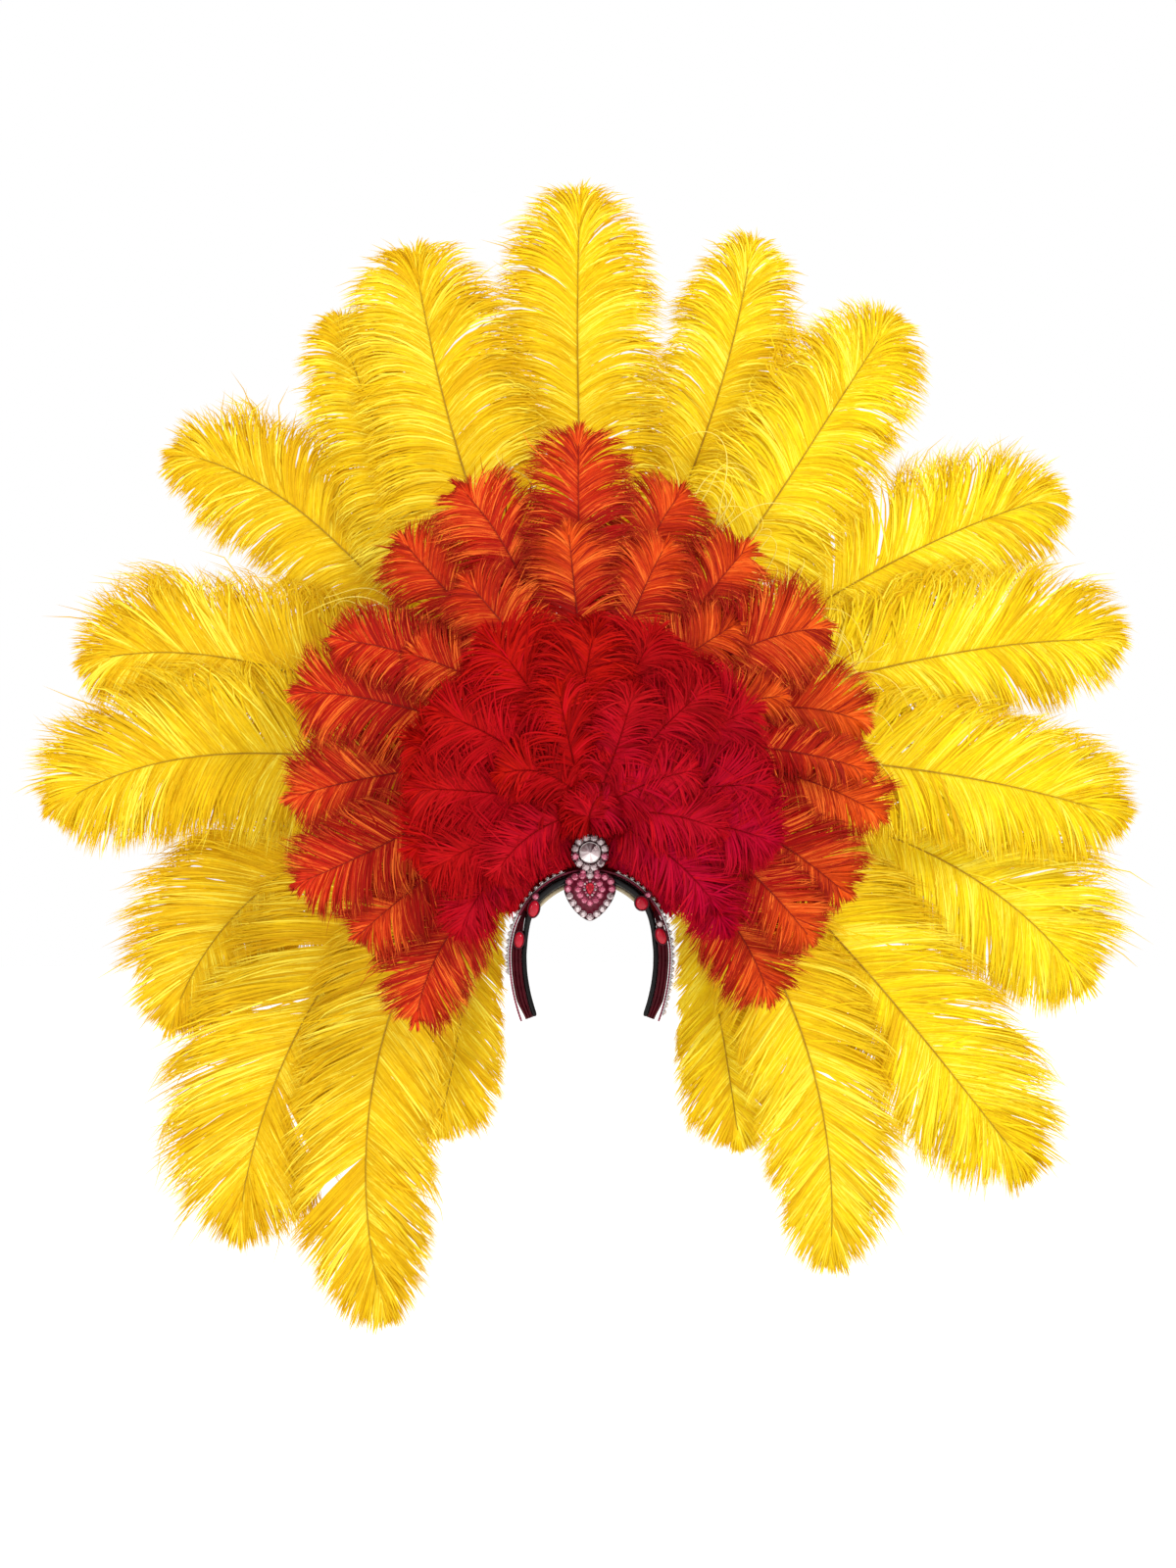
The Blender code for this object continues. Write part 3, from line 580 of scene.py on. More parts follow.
class Palette:
    """Every finish of the headdress, built once."""

    def __init__(self) -> None:
        """Builds the shared effects and the materials."""
        effects = Effects()
        finishes = (
            FeatherFinish("yellow_barbs", root=(0.84, 0.50, 0.003), body=(0.88, 0.56, 0.003),
                          painted_lit_body=(0.97, 0.74, 0.004), end=None, tip=(0.84, 0.56, 0.004), shade=(0.68, 0.37, 0.002),
                          glow=(1.0, 0.87, 0.08), root_from=0.0, root_until=0.25, strands=2.4, contrast=0.9),
            FeatherFinish("orange_barbs", root=(0.44, 0.001, 0.001), body=(0.68, 0.022, 0.002),
                          painted_lit_body=(0.95, 0.125, 0.004), end=None, tip=(0.32, 0.007, 0.002), shade=(0.26, 0.003, 0.001),
                          glow=(0.95, 0.18, 0.02), root_from=0.40, root_until=1.0, strands=2.2, tip_share=0.95),
            FeatherFinish("red_barbs", root=(0.26, 0.0, 0.001), body=(0.36, 0.0005, 0.001),
                          painted_lit_body=(0.48, 0.0005, 0.030), end=(0.60, 0.010, 0.002), tip=(0.46, 0.003, 0.003),
                          shade=(0.19, 0.0, 0.001), glow=(0.48, 0.002, 0.008), root_from=0.0, root_until=0.30,
                          sheen=0.0, contrast=0.55,
                          gloss=0.05),
            QuillFinish("pale_down", (0.99, 0.84, 0.20), (0.95, 0.70, 0.06), 0.6),
            QuillFinish("yellow_quill", (0.50, 0.30, 0.008), (0.36, 0.19, 0.005)),
            QuillFinish("orange_quill", (0.30, 0.006, 0.001), (0.18, 0.003, 0.001)),
            QuillFinish("red_quill", (0.20, 0.0002, 0.0005), (0.13, 0.0002, 0.0005), 0.6, 0.05),
            ClothFinish("maroon_satin", (0.040, 0.0010, 0.0035), (0.070, 0.002, 0.007), 0.24, 0.0, 2400.0, specular=0.14),
            ClothFinish("rose_cord", (0.14, 0.008, 0.025), (0.26, 0.020, 0.055), 0.36, 0.1, 3000.0, specular=0.3),
            ClothFinish("cream_ribbon", (0.56, 0.47, 0.31), (0.42, 0.33, 0.19), 0.62, 0.1, 3200.0),
            ClothFinish("cream_thread", (0.62, 0.52, 0.36), (0.45, 0.36, 0.22), 0.55, 0.2, 4200.0),
            ClothFinish("maroon_thread", (0.05, 0.002, 0.006), (0.10, 0.006, 0.012), 0.45, 0.1, 4200.0, specular=0.2),
            PatentFinish("black_patent", (0.0008, 0.0005, 0.0005), (0.003, 0.002, 0.0025)),
            StoneFinish("clear_stones", (0.98, 0.90, 0.90), (0.60, 0.46, 0.48), (0.12, 0.06, 0.07), 0.30),
            StoneFinish("rose_stones", (0.95, 0.38, 0.50), (0.55, 0.08, 0.17), (0.20, 0.010, 0.04), 0.25),
            StoneFinish("ruby_stones", (0.85, 0.05, 0.08), (0.52, 0.006, 0.024), (0.26, 0.001, 0.008), 0.0,
                        coat=0.12, specular=0.25),
            StoneFinish("raspberry_ground", (0.22, 0.01, 0.035), (0.12, 0.004, 0.018), (0.05, 0.002, 0.008), 0.1,
                        0.3, 0.1, 0.2),
            StoneFinish("dark_setting", (0.16, 0.03, 0.045), (0.04, 0.005, 0.010), (0.012, 0.001, 0.003), 0.5,
                        0.28, 0.1, 0.2),
            StoneFinish("silver_setting", (0.85, 0.80, 0.78), (0.45, 0.41, 0.40), (0.16, 0.14, 0.13), 1.0, 0.2, 0.0),
            FeltFinish("plate_felt", (0.20, 0.001, 0.003), (0.30, 0.003, 0.007)),
        )
        self.materials = {finish.name: finish.build(effects) for finish in finishes}

    def pick(self, *names: str) -> list[bpy.types.Material]:
        """The named materials in order."""
        return [self.materials[name] for name in names]


@dataclass(frozen=True)
class Seat:
    """A place on the headdress with its own right, up and outward directions."""

    centre: Array
    right: Array
    up: Array
    out: Array

    def at(self, right: float | Array, up: float | Array, out: float | Array) -> Array:
        """Points given in the seat's own directions.

        Args:
            right: Distances to the right.
            up: Distances up.
            out: Distances out from the surface.

        Returns:
            The points in the headdress's frame.
        """
        parts = [np.asarray(value, float)[..., None] for value in np.broadcast_arrays(right, up, out)]
        return self.centre + parts[0] * self.right + parts[1] * self.up + parts[2] * self.out


def front_seat(x: float, y: float, z: float) -> Seat:
    """A seat that faces the front."""
    return Seat(np.array((x, y, z)), np.array((1.0, 0, 0)), np.array((0, 0, 1.0)), np.array((0, -1.0, 0)))


@dataclass
class Shape:
    """Points and faces of one piece in the making."""

    points: list[Array] = field(default_factory=list)
    faces: list[tuple[int, ...]] = field(default_factory=list)
    materials: list[int] = field(default_factory=list)
    tones: list[float] = field(default_factory=list)
    flat: list[bool] = field(default_factory=list)
    count: int = 0

    def add(self, points: Array, faces: list[tuple[int, ...]], material: int = 0,
            tones: list[float] | float = 0.5, flat: bool = False) -> None:
        """Adds points and the faces between them.

        Args:
            points: Their places.
            faces: Indices into these points.
            material: Index of the faces' material.
            tones: Tone of each face, or of all.
            flat: True where the faces keep their edges.
        """
        self.points.append(np.asarray(points, float).reshape(-1, 3))
        self.faces += [tuple(index + self.count for index in face) for face in faces]
        self.materials += [material] * len(faces)
        self.tones += list(tones) if isinstance(tones, (list, Array)) else [tones] * len(faces)
        self.flat += [flat] * len(faces)
        self.count += len(self.points[-1])

    def loft(self, rings: Array, material: int = 0, capped: bool = True, flat: bool = False,
             tone: float = 0.5) -> None:
        """Joins closed sections of equal point counts.

        Args:
            rings: Sections, points and coordinates.
            material: Index of the material.
            capped: True to close both ends.
            flat: True to keep the edges.
            tone: Tone of the faces.
        """
        rows, size = rings.shape[:2]
        faces = []
        for row in range(rows - 1):
            for index in range(size):
                after = (index + 1) % size
                near, far = row * size, (row + 1) * size
                faces.append((near + index, near + after, far + after, far + index))
        if capped:
            faces.append(tuple(range(size))[::-1])
            faces.append(tuple(range((rows - 1) * size, rows * size)))
        self.add(rings, faces, material, tone, flat)

    def stone(self, seat: Seat, radius: float, height: float, random: np.random.Generator,
              material: int = 0, cut: Facets = Facets.CHATON, sides: int = 8) -> None:
        """Adds a cut stone whose widest place lies on the seat.

        Args:
            seat: Where it sits.
            radius: Its widest radius.
            height: How far it stands out.
            random: Varies the tone of each facet; the tones are painted reflections, darker at the top.
            material: Index of the material.
            cut: How it is cut.
            sides: Facets around it.
        """
        turn = 2 * math.pi / sides
        step = np.arange(sides)
        girdle_at = np.arange(2 * sides) * turn / 2
        girdle = seat.at(radius * np.sin(girdle_at), radius * np.cos(girdle_at), 0.12 * height)
        back = seat.at(radius * 0.9 * np.sin(girdle_at), radius * 0.9 * np.cos(girdle_at), -0.12 * height)
        if cut is Facets.CONE:
            top = seat.at(np.zeros(1), np.zeros(1), height)
            points = np.concatenate((girdle, top, back))
            faces = [(i, (i + 1) % (2 * sides), 2 * sides) for i in range(2 * sides)]
            first_back = 2 * sides + 1
        else:
            table = seat.at(0.50 * radius * np.sin(step * turn), 0.52 * radius * np.cos(step * turn), height)
            half = step * turn + turn / 2
            middle = seat.at(0.80 * radius * np.sin(half), 0.80 * radius * np.cos(half), 0.66 * height)
            points = np.concatenate((girdle, table, middle, back))
            faces = [tuple(2 * sides + i for i in range(sides))]
            for i in range(sides):
                after = (i + 1) % sides
                before = (i - 1) % sides
                first, second = 2 * sides + i, 2 * sides + after
                mid, mid_before = 3 * sides + i, 3 * sides + before
                faces.append((first, mid, second))
                faces.append((first, mid_before, 2 * i, mid))
                faces.append((mid, 2 * i, 2 * i + 1))
                faces.append((mid, 2 * i + 1, (2 * i + 2) % (2 * sides)))
            first_back = 4 * sides
        for i in range(2 * sides):
            after = (i + 1) % (2 * sides)
            faces.append((i, first_back + i, first_back + after, after))
        faces.append(tuple(first_back + i for i in range(2 * sides)))
        corners = points.reshape(-1, 3)
        # painted reflections: facets that face up get darker tones and facets that face down lighter ones, plus random
        # painted glints
        tones = []
        for face in faces:
            tilt = (corners[list(face)].mean(axis=0) - seat.centre) @ seat.up / radius
            tones.append(float(np.clip(0.52 - 0.40 * tilt + random.normal(0, 0.24), 0, 1)))
        self.add(points, faces, material, tones, True)

    def collar(self, seat: Seat, half_width: float, half_height: float, thick: float, height: float,
               material: int, turn: float = 0.0, sides: int = 20, tone: float = 0.5) -> None:
        """Adds a rounded collar around an oval or round stone.

        Args:
            seat: Its centre.
            half_width: Half its width to the middle of the collar.
            half_height: Half its height to the middle of the collar.
            thick: Half the collar's thickness.
            height: How far it stands out.
            material: Index of the material.
            turn: How far it is turned clockwise.
            sides: Sections around it.
            tone: Tone of the faces.
        """
        around = np.linspace(0, 2 * math.pi, sides, endpoint=False)
        lip = np.array(((-1.0, -0.2), (-0.9, 0.7), (0.0, 1.0), (0.9, 0.7), (1.0, -0.2)))
        rings = []
        for angle in around:
            right = (half_width + lip[:, 0] * thick) * math.sin(angle)
            up = (half_height + lip[:, 0] * thick) * math.cos(angle)
            turned_right = right * math.cos(turn) + up * math.sin(turn)
            turned_up = up * math.cos(turn) - right * math.sin(turn)
            rings.append(seat.at(turned_right, turned_up, lip[:, 1] * height))
        rings.append(rings[0])
        size = len(lip)
        faces = []
        for row in range(sides):
            near, far = row * size, ((row + 1) % sides) * size
            for index in range(size):
                after = (index + 1) % size
                faces.append((near + index, far + index, far + after, near + after))
        self.add(np.array(rings[:-1]), faces, material, tone)

    def dome(self, seat: Seat, half_width: float, half_height: float, rise: float, material: int,
             turn: float = 0.0, sides: int = 24, steps: int = 7) -> None:
        """Adds a smooth rounded stone.

        Args:
            seat: Its centre.
            half_width: Half its width.
            half_height: Half its height.
            rise: How far it stands out.
            material: Index of the material.
            turn: How far it is turned clockwise.
            sides: Points around it.
            steps: Rows from its edge to its top.
        """
        around = np.linspace(0, 2 * math.pi, sides, endpoint=False)
        rings = []
        for row in range(steps):
            lift = row / steps * math.pi / 2
            right = half_width * np.sin(around) * math.cos(lift)
            up = half_height * np.cos(around) * math.cos(lift)
            turned_right = right * math.cos(turn) + up * math.sin(turn)
            turned_up = up * math.cos(turn) - right * math.sin(turn)
            rings.append(seat.at(turned_right, turned_up, rise * math.sin(lift)))
        self.loft(np.array(rings), material, True, False, 0.45)

    def bead(self, centre: Array, radii: Array, material: int, tone: float = 0.5, sides: int = 6) -> None:
        """Adds a small rounded bead or prong.

        Args:
            centre: Its centre.
            radii: Its half sizes along X, Y and Z.
            material: Index of the material.
            tone: Tone of the faces.
            sides: Points around it.
        """
        rows = 4
        lift = np.linspace(-0.8, 0.8, rows)
        around = np.linspace(0, 2 * math.pi, sides, endpoint=False)
        wide = np.sqrt(1 - lift**2)
        rings = np.stack((
            wide[:, None] * np.cos(around), wide[:, None] * np.sin(around),
            np.repeat(lift[:, None], sides, axis=1)), axis=-1)
        self.loft(centre + rings * radii, material, True, False, tone)

    def build(self, name: str, materials: list[bpy.types.Material], slot: str, *nodes: str) -> bpy.types.Object:
        """Makes the piece and hands it to the frame.

        Args:
            name: Its name.
            materials: Its materials by index.
            slot: Handed on to place, which does not use it.
            nodes: The solids that it stands for.

        Returns:
            The new object.
        """
        mesh = bpy.data.meshes.new(name)
        mesh.from_pydata(np.concatenate(self.points).tolist(), [], self.faces)
        mesh.polygons.foreach_set("material_index", np.array(self.materials, np.int32))
        mesh.polygons.foreach_set("use_smooth", ~np.array(self.flat, bool))
        tone = mesh.attributes.new("tone", "FLOAT", "FACE")
        tone.data.foreach_set("value", np.array(self.tones, np.float32))
        return place(mesh, name, materials, slot, *nodes)


def place(mesh: bpy.types.Mesh, name: str, materials: list[bpy.types.Material], slot: str,
          *nodes: str) -> bpy.types.Object:
    """Adds a finished mesh to the headdress.

    Args:
        mesh: The mesh, in the headdress's frame.
        name: The piece's name.
        materials: Its materials by index.
        slot: Not used.
        nodes: The solids that it stands for.

    Returns:
        The new object.
    """
    for material in materials:
        mesh.materials.append(material)
    mesh.validate()
    mesh.update()
    piece = bpy.data.objects.new(name, mesh)
    bpy.context.scene.collection.objects.link(piece)
    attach(piece, BODY)
    if nodes:
        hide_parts(*nodes)
    return piece


@dataclass(frozen=True)
class Arch:
    """The headband's arch, measured to its outer edge, with the room that each strip takes on it."""

    half_width: float = 0.088
    rise: float = 0.0948
    top: float = 0.0147
    drop: float = 0.072
    end_inset: float = 0.013
    panel_width: float = 0.012
    widens_from: float = 0.30
    widens_to: float = 0.62
    roll: float = 0.0047
    roll_end: float = 0.0027
    shell_wall: float = 0.003
    shell_follow: float = 0.3

    @property
    def spring(self) -> float:
        """Height where the round top ends."""
        return self.top - self.rise

    @property
    def quarter(self) -> float:
        """Length of half the round top."""
        return math.pi / 2 * math.sqrt((self.half_width**2 + self.rise**2) / 2)

    @property
    def length(self) -> float:
        """Length of half the arch."""
        return self.quarter + math.hypot(self.drop, self.end_inset)

    def edge(self, along: Array) -> Array:
        """Points of the outer edge.

        Args:
            along: Places from -1 at the left end to 1 at the right end.

        Returns:
            The points.
        """
        along = np.asarray(along, float)
        side = np.where(along < 0, -1.0, 1.0)
        share = np.abs(along)
        turn = self.quarter / self.length
        angle = np.minimum(share / turn, 1.0) * math.pi / 2
        down = np.maximum(share - turn, 0.0) / (1 - turn)
        x = side * (self.half_width * np.sin(angle) - self.end_inset * down**2)
        z = self.spring + self.rise * np.cos(angle) - self.drop * down
        return np.stack((x, np.zeros_like(x), z), axis=-1)

    def outward(self, along: Array) -> Array:
        """Directions away from the head, square to the arch.

        Args:
            along: Places on the arch.

        Returns:
            Unit vectors.
        """
        step = 0.01
        along = np.asarray(along, float)
        run = self.edge(np.minimum(along + step, 1.0)) - self.edge(np.maximum(along - step, -1.0))
        return unit(np.stack((-run[..., 2], np.zeros_like(run[..., 0]), run[..., 0]), axis=-1))

    def point(self, along: Array, inset: Array | float, depth: Array | float = 0.0) -> Array:
        """Points on the arch.

        Args:
            along: Places on the arch.
            inset: How far they lie in towards the head.
            depth: Their depth along Y.

        Returns:
            The points.
        """
        inset = np.asarray(inset, float)[..., None]
        found = self.edge(along) - self.outward(along) * inset
        found[..., 1] += depth
        return found

    def widening(self, along: Array) -> Array:
        """How far the side panel has widened, from 0 to 1."""
        return ease((np.abs(along) - self.widens_from) / (self.widens_to - self.widens_from))

    def panel_room(self, along: Array) -> Array:
        """Width that the side panel takes beside the roll."""
        return self.panel_width * self.widening(along)

    def roll_radius(self, along: Array) -> Array:
        """Radius of the black roll."""
        return self.roll + (self.roll_end - self.roll) * self.widening(along)

    def shell_inset(self, along: Array) -> Array:
        """How far the shell's outer face lies in from the outer edge."""
        return 2 * self.roll - self.shell_wall + self.shell_follow * self.panel_room(along)

    def blocks(self, points: Array, margin: float) -> Array:
        """Which points lie over the band or in the room for the head.

        Args:
            points: Points of the barbs.
            margin: How far they have to stay off the outer edge.

        Returns:
            True for each point that is in the way.
        """
        x, z = points[..., 0], points[..., 2]
        wide = self.half_width + margin
        over = ((x / wide) ** 2 + ((z - self.spring) / (self.rise + margin)) ** 2 < 1) & (z > self.spring)
        beside = (np.abs(x) < wide) & (z <= self.spring)
        return over | beside


ARCH = Arch()


@dataclass
class Headband:
    """Shell, comfort strip, black roll, rose cord and fluted side panels."""

    palette: Palette
    shell_front: float = -0.018
    shell_depth: float = 0.042
    strip_depth: float = 0.034
    strip_thickness: float = 0.005
    strip_end: float = 5 / 13
    rib_pitch: float = 0.0021
    rib_depth: float = 0.0004
    rose_radius: float = 0.0013
    rose_forward: float = 0.0042
    twist_pitch: float = 0.0062
    flutes: int = 3
    flute_depth: float = 0.0026
    panel_back: float = 0.0028
    panel_start: float = 0.42
    panel_end_share: float = 0.7
    stations: int = 120

    def band(self, inset: Array, wall: Array, front: float, depth: float, stations: Array) -> Array:
        """Sections of a band along the arch with rounded long edges.

        Args:
            inset: Inset of its outer face at each station.
            wall: Its thickness at each station.
            front: Y of its front edge.
            depth: Its depth along Y.
            stations: Places on the arch.

        Returns:
            Its sections.
        """
        corner = np.array(((0.0, 0.25), (0.2, 0.0), (0.8, 0.0), (1.0, 0.25), (1.0, 0.75), (0.8, 1.0), (0.2, 1.0),
                           (0.0, 0.75)))
        edge = 0.0016
        rings = []
        for place_at, outer, thick in zip(stations, inset, wall):
            depths = front + np.where(corner[:, 0] < 0.5, corner[:, 0] / 0.2 * edge,
                                      depth - (1 - corner[:, 0]) / 0.2 * edge)
            rings.append(ARCH.point(np.full(len(corner), place_at), outer + corner[:, 1] * thick, depths))
        return np.array(rings)

    def build_shell(self) -> None:
        """The satin shell over the head."""
        stations = np.linspace(-1, 1, self.stations + 1)
        inset = ARCH.shell_inset(stations)
        shape = Shape()
        shape.loft(self.band(inset, np.full_like(inset, ARCH.shell_wall), self.shell_front, self.shell_depth,
                             stations))
        self.stitch_edges(shape, stations, inset)
        shape.build("headband_cover", self.palette.pick("maroon_satin", "maroon_thread"), "satin_maroon",
                    "headband_shell")

    def stitch_edges(self, shape: Shape, stations: Array, inset: Array) -> None:
        """A row of stitches along the shell's back edge.

        Args:
            shape: The shell in the making.
            stations: Places on the arch.
            inset: Inset of the outer face at each station.
        """
        pitch = 0.0036
        count = int(2 * ARCH.length / pitch)
        for along in np.linspace(-0.98, 0.98, count):
            outer = np.interp(along, stations, inset)
            depth = self.shell_front + self.shell_depth - 0.004
            spot = ARCH.point(np.array(along), outer - 0.0001, depth)
            ahead = ARCH.point(np.array(min(along + 0.004, 1.0)), outer - 0.0001, depth)
            run = np.abs(unit(ahead - spot))
            shape.bead(spot, 0.00035 + 0.0011 * run, 1, 0.4, 5)

    def build_strip(self) -> None:
        """The ribbed comfort strip, a little padded between its ribs."""
        length = 2 * self.strip_end * ARCH.length
        count = int(length / self.rib_pitch) * 6
        stations = np.linspace(-self.strip_end, self.strip_end, count + 1)
        wave = 0.5 - 0.5 * np.cos(2 * math.pi * stations * ARCH.length / self.rib_pitch)
        inset = ARCH.shell_inset(stations) + ARCH.shell_wall + GAP
        taper = 1 - 0.35 * (np.abs(stations) / self.strip_end) ** 6
        wall = (self.strip_thickness - self.rib_depth * (1 - wave)) * taper
        shape = Shape()
        shape.loft(self.band(inset, wall, self.shell_front, self.strip_depth, stations))
        shape.build("comfort_ribbon", self.palette.pick("cream_ribbon"), "cream_ribbed", "comfort_strip")

    def build_roll(self) -> None:
        """The black patent roll, gathered a little along its length."""
        stations = np.linspace(-1, 1, 2 * self.stations + 1)
        around = np.linspace(0, 2 * math.pi, 28, endpoint=False)
        rings = []
        for along in stations:
            radius = float(ARCH.roll_radius(along))
            crease = 1 - 0.020 * math.cos(along * 150) ** 4 - 0.012 * math.sin(along * 63)
            end = 1 - 0.35 * max(abs(along) - 0.985, 0.0) / 0.015
            middle = ARCH.point(np.array(along), ARCH.panel_room(along) + radius, self.shell_front - GAP - radius)
            out = ARCH.outward(np.array(along))
            size = radius * crease * end
            rings.append(middle + size * (np.cos(around)[:, None] * out
                                          + np.sin(around)[:, None] * np.array((0, -1.0, 0))))
        shape = Shape()
        shape.loft(np.array(rings))
        shape.build("black_roll", self.palette.pick("black_patent"), "patent_black", "front_piping")

    def build_cord(self) -> None:
        """The rose cord, twisted from two strands."""
        turns = 2 * ARCH.length / self.twist_pitch
        stations = np.linspace(-1, 1, int(turns * 8) + 1)
        around = np.linspace(0, 2 * math.pi, 10, endpoint=False)
        rings = []
        for along in stations:
            twist = along * ARCH.length / self.twist_pitch * 2 * math.pi
            radius = self.rose_radius * (0.86 + 0.14 * np.cos(2 * (around - twist)))
            middle = ARCH.point(np.array(along), -self.rose_radius - GAP, self.shell_front - self.rose_forward)
            out = ARCH.outward(np.array(along))
            rings.append(middle + radius[:, None] * (np.cos(around)[:, None] * out
                                                     + np.sin(around)[:, None] * np.array((0, -1.0, 0))))
        shape = Shape()
        shape.loft(np.array(rings))
        shape.build("rose_cord", self.palette.pick("rose_cord"), "rose_satin", "rose_piping")

    def build_panel(self, side: Side) -> None:
        """One padded side panel with its flutes and the stitching between them.

        Args:
            side: The side that it is on.
        """
        steps = 70
        back = self.shell_front - GAP
        columns = np.linspace(0, 1, 10 * self.flutes + 1)
        bulge = np.abs(np.sin(columns * self.flutes * math.pi)) ** 0.7
        rings = []
        shape = Shape()
        for share in np.linspace(0, 1, steps + 1):
            along = side.value * (self.panel_start + (1 - self.panel_start) * share)
            room = float(ARCH.panel_room(along)) - GAP
            narrow = 1 - (1 - self.panel_end_share) * float(ease((share - 0.8) / 0.2))
            first = room * (1 - narrow)
            closing = math.sqrt(max(1 - max(share - 0.97, 0.0) / 0.03, 0.05))
            pucker = 1 - 0.06 * math.cos(share * 190) ** 2
            insets = first + (room - first) * columns
            depths = back - self.panel_back - self.flute_depth * bulge * closing * pucker
            front = ARCH.point(np.full(len(columns), along), insets, depths)
            rear = ARCH.point(np.full(2, along), np.array((room, first)), np.full(2, back))
            rings.append(np.concatenate((front, rear)))
            if 0 < share < 0.97 and int(share * steps) % 2:
                for line in range(1, self.flutes):
                    inset = first + (room - first) * line / self.flutes
                    spot = ARCH.point(np.array(along), inset, back - self.panel_back - 0.0004)
                    shape.bead(spot, np.array((0.00035, 0.0003, 0.0011)), 1, 0.4, 5)
        shape.loft(np.array(rings))
        shape.build("fluted_panel_" + side.name.lower(), self.palette.pick("maroon_satin", "maroon_thread"),
                    "satin_maroon", "side_panel_" + side.name.lower())

    def build(self) -> None:
        """Builds the whole band."""
        self.build_shell()
        self.build_strip()
        self.build_roll()
        self.build_cord()
        for side in Side:
            self.build_panel(side)


@dataclass
class EdgeChains:
    """Rhinestone chains on the band's outer edge: cups with prongs on a narrow tape."""

    palette: Palette
    random: np.random.Generator
    strip_width: float = 0.0062
    strip_thickness: float = 0.0012
    stone_radius: float = 0.0026
    stone_height: float = 0.0020
    pitch: float = 0.0080
    start: float = 0.15
    left_end: float = 0.74
    right_end: float = 0.95
    middle: float = -0.0222
    floor: float = -0.0032

    def build_side(self, side: Side) -> None:
        """One chain.

        Args:
            side: The side that it is on.
        """
        end = self.right_end if side is Side.RIGHT else self.left_end
        margin = self.pitch / ARCH.length / 2
        shape = Shape()
        rings = []
        top = self.floor - self.strip_thickness
        half = self.strip_width / 2
        corners = np.array(((self.floor, -half), (self.floor, half), (top + 0.0004, half), (top, half - 0.0006),
                            (top, -half + 0.0006), (top + 0.0004, -half)))
        for share in np.linspace(self.start - margin, min(end + margin, 1.0), 60):
            along = np.full(len(corners), side.value * share)
            rings.append(ARCH.point(along, corners[:, 0], self.middle + corners[:, 1]))
        shape.loft(np.array(rings), 1, tone=0.35)
        count = round((end - self.start) * ARCH.length / self.pitch)
        for share in np.linspace(self.start, end, count + 1):
            along = np.array(side.value * share)
            out = ARCH.outward(along)
            right = np.array((out[2], 0.0, -out[0]))
            seat = Seat(ARCH.point(along, top, self.middle), right, np.array((0, 1.0, 0)), out)
            shape.collar(seat, self.stone_radius, self.stone_radius, 0.0004, 0.0012, 1, sides=14, tone=0.7)
            raised = Seat(seat.at(0.0, 0.0, 0.0006), seat.right, seat.up, seat.out)
            shape.stone(raised, self.stone_radius * 0.96, self.stone_height, self.random, 0)
            for quarter in range(4):
                angle = math.pi / 4 + quarter * math.pi / 2
                spot = seat.at(self.stone_radius * math.sin(angle), self.stone_radius * math.cos(angle), 0.0014)
                shape.bead(spot, np.full(3, 0.00055), 1, 0.8)
        shape.build("rhinestone_chain_" + side.name.lower(),
                    self.palette.pick("clear_stones", "silver_setting"), "clear_stone",
                    "edge_stones_" + side.name.lower())

    def build(self) -> None:
        """Builds both chains."""
        for side in Side:
            self.build_side(side)


@dataclass(frozen=True)
class Shield:
    """Outline with a rounded top and a pointed bottom."""

    half_width: float
    top: float
    bottom: float
    top_power: float = 3.2
    point_power: float = 1.5

    def point(self, angle: Array) -> Array:
        """Points of the outline.

        Args:
            angle: Angles from straight up.

        Returns:
            Their distances right and up.
        """
        across, up = np.sin(angle), np.cos(angle)
        power = np.where(up >= 0, self.top_power, self.point_power)
        height = np.where(up >= 0, self.top, self.bottom)
        return np.stack((
            self.half_width * np.copysign(np.abs(across) ** (2 / power), across),
            height * np.copysign(np.abs(up) ** (2 / power), up)), axis=-1)

    def row(self, count: int) -> Array:
        """Points spaced evenly along the outline, from its bottom.

        Args:
            count: How many.

        Returns:
            Their distances right and up.
        """
        fine = self.point(math.pi + np.linspace(0, 2 * math.pi, 961))
        run = np.concatenate(((0,), np.cumsum(np.linalg.norm(np.diff(fine, axis=0), axis=1))))
        wanted = run[-1] * np.arange(count) / count
        return np.stack([np.interp(wanted, run, fine[:, axis]) for axis in range(2)], axis=-1)

    def inset(self, distance: float) -> "Shield":
        """The outline moved in by a distance."""
        return Shield(self.half_width - distance, self.top - distance, self.bottom - distance,
                      self.top_power, self.point_power)


